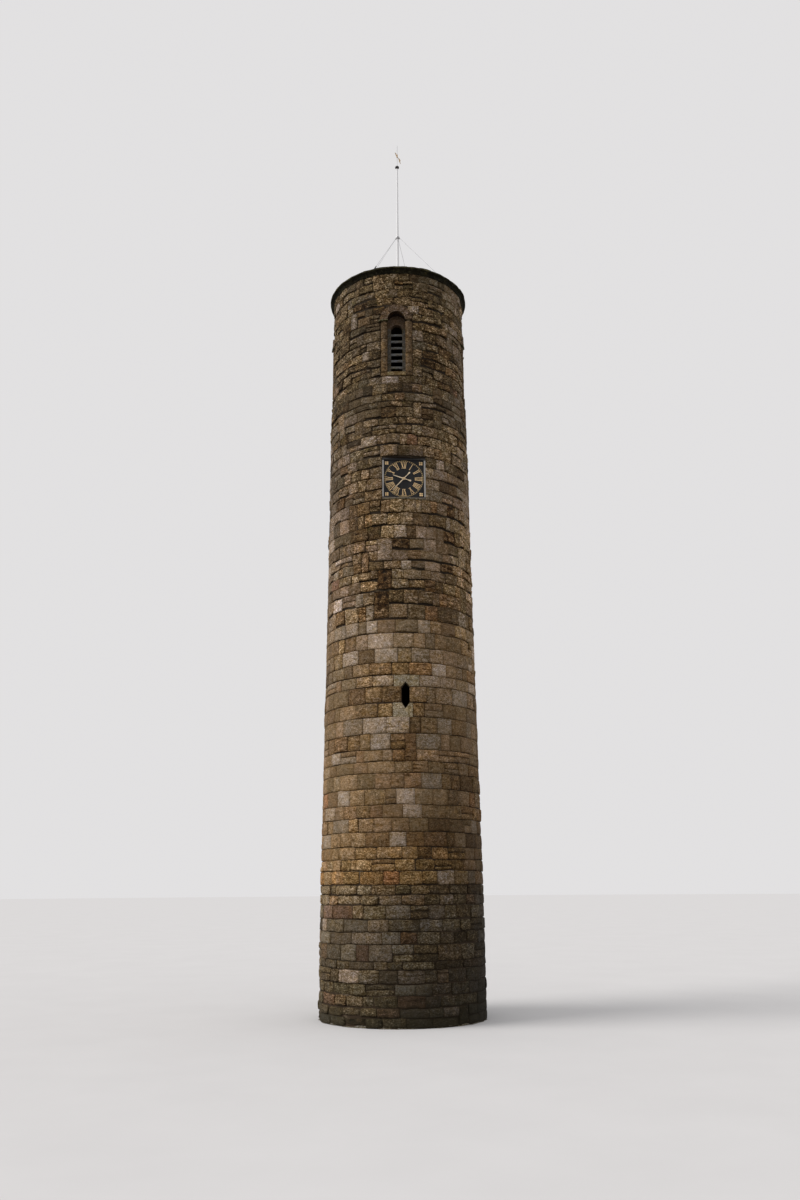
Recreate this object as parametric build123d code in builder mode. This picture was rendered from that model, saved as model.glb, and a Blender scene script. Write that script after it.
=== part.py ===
from build123d import *
from math import cos, radians, sin, sqrt
import os

os.makedirs("parts", exist_ok=True)

# Round stone tower. Millimetres, +Z up, origin on the ground at the centre of the drum.
# The front faces -Y. A heading is given as the angle of its outward direction from +X.
headings = {"front": -90, "right": 0, "rear": 90, "left": 180}

# Drum: heights of its four stages
base_height = 3550
lower_shaft_height = 7450
upper_shaft_height = 7400
belfry_height = 3900

# Drum: outer radius of the mortar face, and how far the faces of the stones stand out of it
base_foot_radius = 2300
base_head_radius = 2295
lower_head_radius = 2215
upper_head_radius = 2160
belfry_radius = 2110
stone_proud = 30

# Drum: radius of the hollow
shaft_bore_radius = 1260
belfry_bore_radius = 1320

# Floors and roof
entrance_level = 900
floor_clearance = 5
belfry_floor_thickness = 70
deck_edge_thickness = 60
deck_crown_thickness = 130
deck_crown_radius = 260

# Cornice at the wall head
cornice_height = 200
cornice_projection = 143
cornice_cove_radius = 125
cornice_edge_chamfer = 25
cornice_bore_radius = 1700

# Dressed stones are let into pockets with this gap at their curved and upright sides
bed_gap = 0.3

# Cuts that leave the drum end this far beyond its foot
cut_reach = 400

# Belfry windows: a projecting surround, and behind it an inner order with the louvred light
surround_proud = 40
recess_half_width = 280
hood_band = 240
jamb_band = 215
surround_arris = 22
window_sill_rise = 400
recess_jamb_height = 1830
recess_depth = 300
inner_order_thickness = 160
inner_order_lap = 60
light_half_width = 178
light_jamb_height = 1620
embrasure_half_width = 215
window_sill_height = 120

# Imposts at the heads of the jambs. The one right of the front window has worn away.
impost_height = 45
impost_proud = 38
impost_reach = 55
worn_impost = ("front", 1)

# Louvres
slat_count = 6
first_slat_rise = 330
slat_pitch = 228
slat_length = 150
slat_thickness = 28
slat_slope = 50

# Slit window in the front of the lower shaft
slit_offset = 200
slit_half_width = 109
slit_rise = 4730
slit_foot_height = 170
slit_side_height = 470
slit_head_height = 130
slit_stone_depth = 300
slit_embrasure_half_width = 180
lintel_left_reach = 320
lintel_right_reach = 380
lintel_height = 320
slit_sill_left_reach = 355
slit_sill_right_reach = 200
slit_sill_height = 400

# Clock in a square bed cut into the front of the upper shaft
clock_heading = -84.5
clock_rise = 4270
clock_frame_half = 650
clock_frame_bar = 45
clock_frame_depth = 80
clock_bed_distance = 2030
clock_board_thickness = 40
minute_ring_radius = 583
minute_ring_width = 38
minute_ring_thickness = 4

# Hands and the arbor that carries them, outward from the board
arbor_boss_radius = 45
arbor_boss_length = 10
arbor_radius = 12
arbor_cap_radius = 24
arbor_cap_length = 8
hand_bore_clearance = 0.3
hand_thickness = 8
hour_hand_standoff = 18
hand_spacing = 8
cap_standoff = 4
hour_hand_length = 360
hour_hand_tail = 235
hour_hand_root_width = 34
minute_hand_length = 520
minute_hand_tail = 280
minute_hand_root_width = 28
hand_tip_width = 16
hand_tail_width = 52
hand_hub_radius = 38
shown_hour = 9
shown_minute = 37

# Pole on the roof
socket_flange_radius = 200
socket_flange_thickness = 20
socket_radius = 90
socket_height = 450
pole_clearance = 0.3
pole_foot_radius = 48
pole_top_radius = 28
pole_length = 5555
pole_cap_radius = 70
pole_cap_height = 95
spindle_radius = 10
spindle_length = 880

# Guys from a collar on the pole to anchors on the cornice
collar_rise = 2650
collar_radius = 70
collar_height = 60
lug_inset = 15
lug_radius = 10
lug_length = 70
guy_headings = [-22, 68, 158, 248]
anchor_circle_radius = 1990
anchor_height = 110
anchor_post_radius = 22
anchor_rod_radius = 9
anchor_rod_length = 130
turnbuckle_radius = 17
turnbuckle_length = 260
wire_radius = 5

# Weather vane
vane_rise = 440
vane_heading = -110
vane_hub_radius = 24
vane_hub_height = 110
vane_bore_clearance = 0.4
vane_stop_radius = 18
vane_stop_height = 15
vane_stop_gap = 0.4
vane_rod_radius = 9
vane_head_reach = 200
vane_tail_reach = 350
vane_plate_thickness = 7
arrow_head_length = 120
arrow_head_width = 110
tail_plate_length = 190
tail_plate_width = 140
tail_notch = 60

# Doorway on the rear, in the base
door_half_width = 400
door_jamb_height = 1850
door_surround_band = 200
door_recess_depth = 350
door_leaf_thickness = 60
door_leaf_lap = 40
door_sill_height = 120
door_sill_proud = 60
plank_count = 5
plank_groove = 6

# Levels that follow from the heights
lower_level = base_height
upper_level = lower_level + lower_shaft_height
belfry_level = upper_level + upper_shaft_height
wall_head_level = belfry_level + belfry_height
cornice_top_level = wall_head_level + cornice_height
deck_top_level = wall_head_level + deck_crown_thickness
door_spring_level = entrance_level + door_jamb_height
slit_low_point = lower_level + slit_rise
slit_low_shoulder = slit_low_point + slit_foot_height
slit_high_shoulder = slit_low_shoulder + slit_side_height
slit_high_point = slit_high_shoulder + slit_head_height
clock_level = upper_level + clock_rise
window_sill_level = belfry_level + window_sill_rise
recess_spring_level = window_sill_level + recess_jamb_height
light_spring_level = window_sill_level + light_jamb_height
pole_foot_level = deck_top_level + socket_flange_thickness
pole_top_level = pole_foot_level + pole_length
pole_cap_top = pole_top_level + pole_cap_height
collar_level = cornice_top_level + collar_rise
vane_level = pole_cap_top + vane_rise


def outward(heading, distance, level=0):
    """Plane across a heading, x to the right as seen from outside, y up."""
    east = cos(radians(heading))
    north = sin(radians(heading))
    return Plane(
        origin=(distance * east, distance * north, level),
        x_dir=(-north, east, 0),
        z_dir=(east, north, 0),
    )


def sloped(heading, distance, level, slope):
    """Plane that falls outwards along a heading, x to the right as seen from outside."""
    east = cos(radians(heading))
    north = sin(radians(heading))
    lean = sin(radians(slope))
    return Plane(
        origin=(distance * east, distance * north, level),
        x_dir=(-north, east, 0),
        z_dir=(lean * east, lean * north, cos(radians(slope))),
    )


def section_plane(heading):
    """Upright plane through the axis, x outward along the heading, y up."""
    east = cos(radians(heading))
    north = sin(radians(heading))
    return Plane(origin=(0, 0, 0), x_dir=(east, north, 0), z_dir=(north, -east, 0))


def mortar_radius(level):
    """Outer radius of the mortar face of the shaft at a level below the belfry."""
    stages = [
        (0, base_foot_radius),
        (lower_level, base_head_radius),
        (upper_level, lower_head_radius),
        (belfry_level, upper_head_radius),
    ]
    for (low, low_radius), (high, high_radius) in zip(stages, stages[1:]):
        if level <= high:
            break
    return low_radius + (high_radius - low_radius) * (level - low) / (high - low)


def wall_segment(heading, low, high, low_radius, high_radius, bore):
    """Quarter of one stage of the drum, centred on a heading."""
    with BuildPart() as segment:
        with BuildSketch(section_plane(heading - 45)):
            Polygon((bore, low), (low_radius, low), (high_radius, high), (bore, high), align=None)
        revolve(axis=Axis.Z, revolution_arc=90)
    return segment.part


def arched_outline(half_width, low, spring):
    """Opening with upright sides and a round head."""
    with BuildSketch() as outline:
        with BuildLine():
            Polyline((-half_width, spring), (-half_width, low), (half_width, low), (half_width, spring))
            ThreePointArc((half_width, spring), (0, spring + half_width), (-half_width, spring))
        make_face()
    return outline.sketch


def arch_outline(outer_radius, inner_radius, spring):
    """Half ring that stands on its spring line."""
    with BuildSketch() as outline:
        with BuildLine():
            CenterArc((0, spring), outer_radius, 0, 180)
            CenterArc((0, spring), inner_radius, 0, 180)
            Line((inner_radius, spring), (outer_radius, spring))
            Line((-inner_radius, spring), (-outer_radius, spring))
        make_face()
    return outline.sketch


def slit_outline():
    """Upright slit that ends in a point above and below."""
    with BuildSketch() as outline:
        Polygon(
            (slit_offset, slit_low_point),
            (slit_offset + slit_half_width, slit_low_shoulder),
            (slit_offset + slit_half_width, slit_high_shoulder),
            (slit_offset, slit_high_point),
            (slit_offset - slit_half_width, slit_high_shoulder),
            (slit_offset - slit_half_width, slit_low_shoulder),
            align=None,
        )
    return outline.sketch


def axis_distance(edge):
    """Distance of an upright edge from the axis of the drum, to the millimetre."""
    middle = edge.center()
    return round(sqrt(middle.X**2 + middle.Y**2))


def save(part, label):
    """Writes one finished piece under its label."""
    part.label = label
    export_step(part, f"parts/{label}.step")


# Distances from the axis to the planes of a belfry window
surround_radius = belfry_radius + stone_proud + surround_proud
inner_order_front = surround_radius - recess_depth
inner_order_back = inner_order_front - inner_order_thickness
hood_half_width = recess_half_width + hood_band
jamb_half_width = recess_half_width + jamb_band
inner_order_half_width = recess_half_width + inner_order_lap

# Distances from the axis to the planes of the doorway
door_middle_level = (entrance_level + door_spring_level) / 2
door_face_radius = mortar_radius(door_middle_level) + stone_proud + surround_proud
door_leaf_front = door_face_radius - door_recess_depth
door_leaf_back = door_leaf_front - door_leaf_thickness
door_surround_half_width = door_half_width + door_surround_band
door_leaf_half_width = door_half_width + door_leaf_lap

# Distances from the axis to the planes of the slit
slit_face_radius = mortar_radius((slit_low_point + slit_high_point) / 2) + stone_proud
slit_stone_back = slit_face_radius - slit_stone_depth
lintel_top = slit_high_shoulder + lintel_height
slit_sill_bottom = slit_low_shoulder - slit_sill_height

# Distances from the axis along the arbor of the clock
board_front = clock_bed_distance + clock_board_thickness
hour_hand_back = board_front + hour_hand_standoff
minute_hand_back = hour_hand_back + hand_thickness + hand_spacing
arbor_cap_back = minute_hand_back + hand_thickness + cap_standoff
board_half = clock_frame_half - clock_frame_bar
outside = base_foot_radius + cut_reach

# Base of the drum, with the doorway cut through its rear segment
for side, heading in headings.items():
    with BuildPart() as base_wall:
        add(wall_segment(heading, 0, lower_level, base_foot_radius, base_head_radius, shaft_bore_radius))
        if side == "rear":
            with BuildSketch(outward(heading, door_leaf_front)):
                add(arched_outline(door_surround_half_width + bed_gap, entrance_level, door_spring_level))
            extrude(amount=outside - door_leaf_front, mode=Mode.SUBTRACT)
            with BuildSketch(outward(heading, door_leaf_back)):
                add(arched_outline(door_leaf_half_width + bed_gap, entrance_level, door_spring_level))
            extrude(amount=door_leaf_thickness, mode=Mode.SUBTRACT)
            with BuildSketch(outward(heading, 0)):
                add(arched_outline(door_half_width, entrance_level, door_spring_level))
            extrude(amount=door_leaf_back, mode=Mode.SUBTRACT)
            with BuildSketch(outward(heading, door_leaf_back)):
                with Locations((0, entrance_level - door_sill_height / 2)):
                    Rectangle(2 * (door_surround_half_width + bed_gap), door_sill_height)
            extrude(amount=outside - door_leaf_back, mode=Mode.SUBTRACT)
    save(base_wall.part, f"base_wall_{side}")

# Lower shaft. Its front segment stops below the slit and starts again above it.
for side, heading in headings.items():
    lifts = [(lower_level, upper_level)]
    if side == "front":
        lifts = [(lower_level, slit_sill_bottom), (lintel_top, upper_level)]
    with BuildPart() as lower_wall:
        for low, high in lifts:
            foot, head = mortar_radius(low), mortar_radius(high)
            add(wall_segment(heading, low, high, foot, head, shaft_bore_radius))
    save(lower_wall.part, f"lower_wall_{side}")

# The lift between, with the embrasure of the slit and the pockets of its two dressed stones
with BuildPart() as slit_wall:
    add(
        wall_segment(
            headings["front"],
            slit_sill_bottom,
            lintel_top,
            mortar_radius(slit_sill_bottom),
            mortar_radius(lintel_top),
            shaft_bore_radius,
        )
    )
    with BuildSketch(outward(headings["front"], slit_stone_back)):
        with Locations((slit_offset, slit_high_shoulder)):
            Rectangle(lintel_left_reach + bed_gap, lintel_height, align=(Align.MAX, Align.MIN))
            Rectangle(lintel_right_reach + bed_gap, lintel_height, align=(Align.MIN, Align.MIN))
        with Locations((slit_offset, slit_sill_bottom)):
            Rectangle(slit_sill_left_reach + bed_gap, slit_sill_height, align=(Align.MAX, Align.MIN))
            Rectangle(slit_sill_right_reach + bed_gap, slit_sill_height, align=(Align.MIN, Align.MIN))
    extrude(amount=outside - slit_stone_back, mode=Mode.SUBTRACT)
    with BuildSketch(outward(headings["front"], slit_stone_back)):
        add(slit_outline())
    extrude(amount=outside - slit_stone_back, mode=Mode.SUBTRACT)
    with BuildSketch(outward(headings["front"], 0)):
        with Locations((slit_offset, (slit_low_point + slit_high_point) / 2)):
            Rectangle(2 * slit_embrasure_half_width, slit_high_point - slit_low_point)
    extrude(amount=slit_stone_back, mode=Mode.SUBTRACT)
save(slit_wall.part, "slit_wall")

# Upper shaft, with the square bed of the clock in the front segment
for side, heading in headings.items():
    with BuildPart() as upper_wall:
        add(
            wall_segment(
                heading, upper_level, belfry_level, lower_head_radius, upper_head_radius, shaft_bore_radius
            )
        )
        if side == "front":
            with BuildSketch(outward(clock_heading, clock_bed_distance, clock_level)):
                Rectangle(2 * (clock_frame_half + bed_gap), 2 * (clock_frame_half + bed_gap))
            extrude(amount=outside - clock_bed_distance, mode=Mode.SUBTRACT)
    save(upper_wall.part, f"upper_wall_{side}")

# Belfry stage: in each segment a window passage that narrows in three steps
for side, heading in headings.items():
    with BuildPart() as belfry_wall:
        add(
            wall_segment(
                heading, belfry_level, wall_head_level, belfry_radius, belfry_radius, belfry_bore_radius
            )
        )
        with BuildSketch(outward(heading, inner_order_front)):
            add(arched_outline(jamb_half_width + bed_gap, window_sill_level, recess_spring_level))
            add(arch_outline(hood_half_width + bed_gap, recess_half_width, recess_spring_level))
        extrude(amount=outside - inner_order_front, mode=Mode.SUBTRACT)
        with BuildSketch(outward(heading, inner_order_back)):
            add(arched_outline(inner_order_half_width + bed_gap, window_sill_level, recess_spring_level))
        extrude(amount=inner_order_thickness, mode=Mode.SUBTRACT)
        with BuildSketch(outward(heading, 0)):
            add(arched_outline(embrasure_half_width, window_sill_level, light_spring_level))
        extrude(amount=inner_order_back, mode=Mode.SUBTRACT)
        with BuildSketch(outward(heading, inner_order_back)):
            with Locations((0, window_sill_level - window_sill_height / 2)):
                Rectangle(2 * (recess_half_width + bed_gap), window_sill_height)
        extrude(amount=outside - inner_order_back, mode=Mode.SUBTRACT)
    save(belfry_wall.part, f"belfry_wall_{side}")

# Floors: stone fill up to the doorway, and boards on the offset below the belfry
with BuildPart() as entrance_floor:
    with BuildSketch(Plane.XY):
        Circle(shaft_bore_radius - bed_gap)
    extrude(amount=entrance_level)
save(entrance_floor.part, "entrance_floor")

with BuildPart() as belfry_floor:
    with BuildSketch(Plane.XY.offset(belfry_level)):
        Circle(belfry_bore_radius - floor_clearance)
    extrude(amount=belfry_floor_thickness)
save(belfry_floor.part, "belfry_floor")

# Roof deck, a low cone with a flat crown, and around it the coved cornice
with BuildPart() as roof_deck:
    with BuildSketch(Plane.XZ):
        Polygon(
            (0, wall_head_level),
            (cornice_bore_radius - floor_clearance, wall_head_level),
            (cornice_bore_radius - floor_clearance, wall_head_level + deck_edge_thickness),
            (deck_crown_radius, deck_top_level),
            (0, deck_top_level),
            align=None,
        )
    revolve(axis=Axis.Z)
save(roof_deck.part, "roof_deck")

cornice_radius = belfry_radius + stone_proud + cornice_projection
with BuildPart() as cornice:
    with BuildSketch(Plane.XZ):
        with BuildLine():
            Polyline(
                (cornice_radius - cornice_cove_radius, wall_head_level),
                (cornice_bore_radius, wall_head_level),
                (cornice_bore_radius, cornice_top_level),
                (cornice_radius - cornice_edge_chamfer, cornice_top_level),
                (cornice_radius, cornice_top_level - cornice_edge_chamfer),
                (cornice_radius, wall_head_level + cornice_cove_radius),
            )
            CenterArc((cornice_radius, wall_head_level), cornice_cove_radius, 90, 90)
        make_face()
    revolve(axis=Axis.Z)
save(cornice.part, "cornice")

# Projecting hood arches over the belfry windows, cut to the curve of the wall
with BuildPart() as window_hoods:
    for heading in headings.values():
        with BuildSketch(outward(heading, inner_order_front)):
            add(arch_outline(hood_half_width, recess_half_width, recess_spring_level))
        extrude(amount=recess_depth)
    with BuildSketch(Plane.XY.offset(belfry_level)):
        Circle(surround_radius)
    extrude(amount=belfry_height, mode=Mode.INTERSECT)
save(window_hoods.part, "window_hoods")

# Imposts below their springs, ledges that return a little over the wall
with BuildPart() as imposts:
    for side, heading in headings.items():
        for turn in (-1, 1):
            if (side, turn) != worn_impost:
                with BuildSketch(outward(heading, inner_order_front)):
                    with Locations((turn * recess_half_width, recess_spring_level)):
                        Rectangle(
                            jamb_band + impost_reach,
                            impost_height,
                            align=(Align.MIN if turn > 0 else Align.MAX, Align.MAX),
                        )
                extrude(amount=recess_depth + impost_proud)
    with BuildSketch(Plane.XY.offset(window_sill_level)):
        Circle(surround_radius + impost_proud)
        Circle(belfry_radius + bed_gap, mode=Mode.SUBTRACT)
    extrude(amount=recess_jamb_height, mode=Mode.INTERSECT)

# Jambs that carry them, slightly slimmer than the hoods, with their front arrises taken off
with BuildPart() as window_jambs:
    for heading in headings.values():
        with BuildSketch(outward(heading, inner_order_front)):
            for turn in (-1, 1):
                with Locations((turn * (recess_half_width + jamb_band / 2), window_sill_level)):
                    Rectangle(jamb_band, recess_jamb_height, align=(Align.CENTER, Align.MIN))
        extrude(amount=recess_depth)
    with BuildSketch(Plane.XY.offset(window_sill_level)):
        Circle(surround_radius)
    extrude(amount=recess_jamb_height, mode=Mode.INTERSECT)
    upright_edges = window_jambs.edges().filter_by(Axis.Z)
    chamfer(upright_edges.group_by(axis_distance)[-1], surround_arris)
    add(imposts.part)
save(window_jambs.part, "window_jambs")

# Inner orders, each a slab with its own round-headed light
with BuildPart() as inner_orders:
    for heading in headings.values():
        with BuildSketch(outward(heading, inner_order_back)):
            add(arched_outline(inner_order_half_width, window_sill_level, recess_spring_level))
            add(
                arched_outline(light_half_width, window_sill_level, light_spring_level),
                mode=Mode.SUBTRACT,
            )
        extrude(amount=inner_order_thickness)
save(inner_orders.part, "inner_orders")

with BuildPart() as window_sills:
    for heading in headings.values():
        with BuildSketch(outward(heading, inner_order_back)):
            with Locations((0, window_sill_level - window_sill_height / 2)):
                Rectangle(2 * recess_half_width, window_sill_height)
        extrude(amount=surround_radius - inner_order_back)
    with BuildSketch(Plane.XY.offset(belfry_level)):
        Circle(surround_radius)
    extrude(amount=belfry_height, mode=Mode.INTERSECT)
save(window_sills.part, "window_sills")

# Louvre slats across each light, falling outwards
slat_middle = inner_order_back + inner_order_thickness / 2
with BuildPart() as louvre_slats:
    for heading in headings.values():
        for row in range(slat_count):
            slat_level = window_sill_level + first_slat_rise + row * slat_pitch
            slat_plane = sloped(heading, slat_middle, slat_level, slat_slope)
            with BuildSketch(slat_plane.offset(-slat_thickness / 2)):
                Rectangle(2 * light_half_width, slat_length)
            extrude(amount=slat_thickness)
save(louvre_slats.part, "louvre_slats")

# Dressed stones above and below the slit, notched by its points
with BuildPart() as slit_stones:
    with BuildSketch(outward(headings["front"], slit_stone_back)):
        with Locations((slit_offset, slit_high_shoulder)):
            Rectangle(lintel_left_reach, lintel_height, align=(Align.MAX, Align.MIN))
            Rectangle(lintel_right_reach, lintel_height, align=(Align.MIN, Align.MIN))
        with Locations((slit_offset, slit_sill_bottom)):
            Rectangle(slit_sill_left_reach, slit_sill_height, align=(Align.MAX, Align.MIN))
            Rectangle(slit_sill_right_reach, slit_sill_height, align=(Align.MIN, Align.MIN))
        add(slit_outline(), mode=Mode.SUBTRACT)
    extrude(amount=slit_stone_depth)
    with BuildSketch(Plane.XY.offset(lower_level)):
        Circle(slit_face_radius)
    extrude(amount=lower_shaft_height, mode=Mode.INTERSECT)
save(slit_stones.part, "slit_stones")

# Clock: frame, board, minute ring and the arbor of the hands
with BuildPart() as clock_frame:
    with BuildSketch(outward(clock_heading, clock_bed_distance, clock_level)):
        Rectangle(2 * clock_frame_half, 2 * clock_frame_half)
        Rectangle(2 * board_half, 2 * board_half, mode=Mode.SUBTRACT)
    extrude(amount=clock_frame_depth)
save(clock_frame.part, "clock_frame")

with BuildPart() as clock_board:
    with BuildSketch(outward(clock_heading, clock_bed_distance, clock_level)):
        Rectangle(2 * board_half, 2 * board_half)
    extrude(amount=clock_board_thickness)
save(clock_board.part, "clock_board")

with BuildPart() as minute_ring:
    with BuildSketch(outward(clock_heading, board_front, clock_level)):
        Circle(minute_ring_radius)
        Circle(minute_ring_radius - minute_ring_width, mode=Mode.SUBTRACT)
    extrude(amount=minute_ring_thickness)
save(minute_ring.part, "minute_ring")

with BuildPart() as clock_arbor:
    with BuildSketch(outward(clock_heading, board_front, clock_level)):
        Circle(arbor_boss_radius)
    extrude(amount=arbor_boss_length)
    with BuildSketch(outward(clock_heading, board_front, clock_level)):
        Circle(arbor_radius)
    extrude(amount=arbor_cap_back - board_front)
    with BuildSketch(outward(clock_heading, arbor_cap_back, clock_level)):
        Circle(arbor_cap_radius)
    extrude(amount=arbor_cap_length)
save(clock_arbor.part, "clock_arbor")


def hand_outline(length, tail, root_width):
    """Hand that points up the y axis, with a pointed tip and a flared tail."""
    with BuildSketch() as outline:
        Polygon(
            (-root_width / 2, 0),
            (-hand_tip_width / 2, length - 2 * hand_tip_width),
            (0, length),
            (hand_tip_width / 2, length - 2 * hand_tip_width),
            (root_width / 2, 0),
            (hand_tip_width / 2, -tail / 2),
            (hand_tail_width / 2, -tail + hand_tail_width / 2),
            (0, -tail),
            (-hand_tail_width / 2, -tail + hand_tail_width / 2),
            (-hand_tip_width / 2, -tail / 2),
            align=None,
        )
        Circle(hand_hub_radius)
        Circle(arbor_radius + hand_bore_clearance, mode=Mode.SUBTRACT)
    return outline.sketch


# Hands at the time shown, clockwise from twelve as seen from outside
hour_hand_turn = 30 * (shown_hour + shown_minute / 60)
with BuildPart() as hour_hand:
    with BuildSketch(outward(clock_heading, hour_hand_back, clock_level)):
        add(hand_outline(hour_hand_length, hour_hand_tail, hour_hand_root_width), rotation=-hour_hand_turn)
    extrude(amount=hand_thickness)
save(hour_hand.part, "hour_hand")

minute_hand_turn = 6 * shown_minute
with BuildPart() as minute_hand:
    with BuildSketch(outward(clock_heading, minute_hand_back, clock_level)):
        add(
            hand_outline(minute_hand_length, minute_hand_tail, minute_hand_root_width),
            rotation=-minute_hand_turn,
        )
    extrude(amount=hand_thickness)
save(minute_hand.part, "minute_hand")

# Pole: socket on the crown of the deck, tapered pole, cap and spindle
with BuildPart() as pole_socket:
    with BuildSketch(Plane.XY.offset(deck_top_level)):
        Circle(socket_flange_radius)
    extrude(amount=socket_flange_thickness)
    with BuildSketch(Plane.XY.offset(pole_foot_level)):
        Circle(socket_radius)
        Circle(pole_foot_radius + pole_clearance, mode=Mode.SUBTRACT)
    extrude(amount=socket_height)
save(pole_socket.part, "pole_socket")

with BuildPart() as flagpole:
    with BuildSketch(Plane.XZ):
        Polygon(
            (0, pole_foot_level),
            (pole_foot_radius, pole_foot_level),
            (pole_top_radius, pole_top_level),
            (0, pole_top_level),
            align=None,
        )
    revolve(axis=Axis.Z)
save(flagpole.part, "flagpole")

with BuildPart() as pole_cap:
    with BuildSketch(Plane.XZ):
        with BuildLine():
            Polyline((spindle_radius, pole_cap_top), (0, pole_cap_top), (0, pole_top_level))
            Line((0, pole_top_level), (pole_top_radius, pole_top_level))
            ThreePointArc(
                (pole_top_radius, pole_top_level),
                (pole_cap_radius, pole_top_level + pole_cap_height / 2),
                (spindle_radius, pole_cap_top),
            )
        make_face()
    revolve(axis=Axis.Z)
save(pole_cap.part, "pole_cap")

vane_stop_level = vane_level - vane_hub_height / 2 - vane_stop_gap - vane_stop_height
with BuildPart() as vane_spindle:
    with BuildSketch(Plane.XY.offset(pole_cap_top)):
        Circle(spindle_radius)
    extrude(amount=spindle_length)
    with BuildSketch(Plane.XY.offset(vane_stop_level)):
        Circle(vane_stop_radius)
    extrude(amount=vane_stop_height)
save(vane_spindle.part, "vane_spindle")

# Guys: every piece of one guy lies on the line from the collar to its anchor
guy_top_radius = collar_radius - lug_inset
guy_foot_level = cornice_top_level + anchor_height
guy_run = anchor_circle_radius - guy_top_radius
guy_drop = collar_level - guy_foot_level
guy_length = sqrt(guy_run**2 + guy_drop**2)
wire_length = guy_length - lug_length - turnbuckle_length - anchor_rod_length


def guy_plane(heading, distance):
    """Plane across a guy at a distance down its line from the collar."""
    share = distance / guy_length
    radius = guy_top_radius + guy_run * share
    east = cos(radians(heading))
    north = sin(radians(heading))
    return Plane(
        origin=(radius * east, radius * north, collar_level - guy_drop * share),
        z_dir=(guy_run * east, guy_run * north, -guy_drop),
    )


def pole_radius(level):
    """Radius of the tapered pole at a level."""
    share = (level - pole_foot_level) / (pole_top_level - pole_foot_level)
    return pole_foot_radius + (pole_top_radius - pole_foot_radius) * share


with BuildPart() as guy_collar:
    with BuildSketch(Plane.XY.offset(collar_level - collar_height / 2)):
        Circle(collar_radius)
    extrude(amount=collar_height)
    for heading in guy_headings:
        with BuildSketch(guy_plane(heading, 0)):
            Circle(lug_radius)
        extrude(amount=lug_length)
    with BuildSketch(Plane.XY.offset(collar_level - collar_height / 2)):
        Circle(pole_radius(collar_level - collar_height / 2) + pole_clearance)
    extrude(amount=collar_height, mode=Mode.SUBTRACT)
save(guy_collar.part, "guy_collar")

with BuildPart() as guy_wires:
    for heading in guy_headings:
        with BuildSketch(guy_plane(heading, lug_length)):
            Circle(wire_radius)
        extrude(amount=wire_length)
save(guy_wires.part, "guy_wires")

with BuildPart() as turnbuckles:
    for heading in guy_headings:
        with BuildSketch(guy_plane(heading, lug_length + wire_length)):
            Circle(turnbuckle_radius)
        extrude(amount=turnbuckle_length)
save(turnbuckles.part, "turnbuckles")

with BuildPart() as guy_anchors:
    for heading in guy_headings:
        with BuildSketch(guy_plane(heading, guy_length - anchor_rod_length)):
            Circle(anchor_rod_radius)
        extrude(amount=anchor_rod_length)
    with BuildSketch(Plane.XY.offset(cornice_top_level)):
        for heading in guy_headings:
            with PolarLocations(anchor_circle_radius, 1, start_angle=heading):
                Circle(anchor_post_radius)
    extrude(amount=anchor_height + anchor_post_radius)
save(guy_anchors.part, "guy_anchors")

# Weather vane: a hub that turns on the spindle, a rod each way, an arrow head and a notched tail
with BuildPart() as vane_arrow:
    with BuildSketch(Plane.XY.offset(vane_level - vane_hub_height / 2)):
        Circle(vane_hub_radius)
    extrude(amount=vane_hub_height)
    with BuildSketch(outward(vane_heading, 0, vane_level)):
        Circle(vane_rod_radius)
    extrude(amount=vane_head_reach - arrow_head_length)
    with BuildSketch(outward(vane_heading, 0, vane_level)):
        Circle(vane_rod_radius)
    extrude(amount=tail_plate_length - tail_notch - vane_tail_reach)
    with BuildSketch(section_plane(vane_heading)):
        with Locations((0, vane_level)):
            Polygon(
                (vane_head_reach - arrow_head_length, arrow_head_width / 2),
                (vane_head_reach, 0),
                (vane_head_reach - arrow_head_length, -arrow_head_width / 2),
                align=None,
            )
            Polygon(
                (tail_plate_length - vane_tail_reach, 0),
                (tail_plate_length - tail_notch - vane_tail_reach, tail_plate_width / 2),
                (-vane_tail_reach, tail_plate_width / 2),
                (tail_notch - vane_tail_reach, 0),
                (-vane_tail_reach, -tail_plate_width / 2),
                (tail_plate_length - tail_notch - vane_tail_reach, -tail_plate_width / 2),
                align=None,
            )
    extrude(amount=vane_plate_thickness / 2, both=True)
    with BuildSketch(Plane.XY.offset(vane_level - vane_hub_height / 2)):
        Circle(spindle_radius + vane_bore_clearance)
    extrude(amount=vane_hub_height, mode=Mode.SUBTRACT)
save(vane_arrow.part, "vane_arrow")

# Doorway: surround, threshold and a plank door that stands shut
with BuildPart() as door_surround:
    with BuildSketch(outward(headings["rear"], door_leaf_front)):
        add(arched_outline(door_surround_half_width, entrance_level, door_spring_level))
        add(arched_outline(door_half_width, entrance_level, door_spring_level), mode=Mode.SUBTRACT)
    extrude(amount=door_recess_depth)
    with BuildSketch(Plane.XY):
        Circle(door_face_radius)
    extrude(amount=lower_level, mode=Mode.INTERSECT)
save(door_surround.part, "door_surround")

with BuildPart() as door_sill:
    with BuildSketch(outward(headings["rear"], door_leaf_back)):
        with Locations((0, entrance_level - door_sill_height / 2)):
            Rectangle(2 * door_surround_half_width, door_sill_height)
    extrude(amount=door_face_radius + door_sill_proud - door_leaf_back)
    with BuildSketch(Plane.XY):
        Circle(door_face_radius + door_sill_proud)
    extrude(amount=lower_level, mode=Mode.INTERSECT)
save(door_sill.part, "door_sill")

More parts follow.
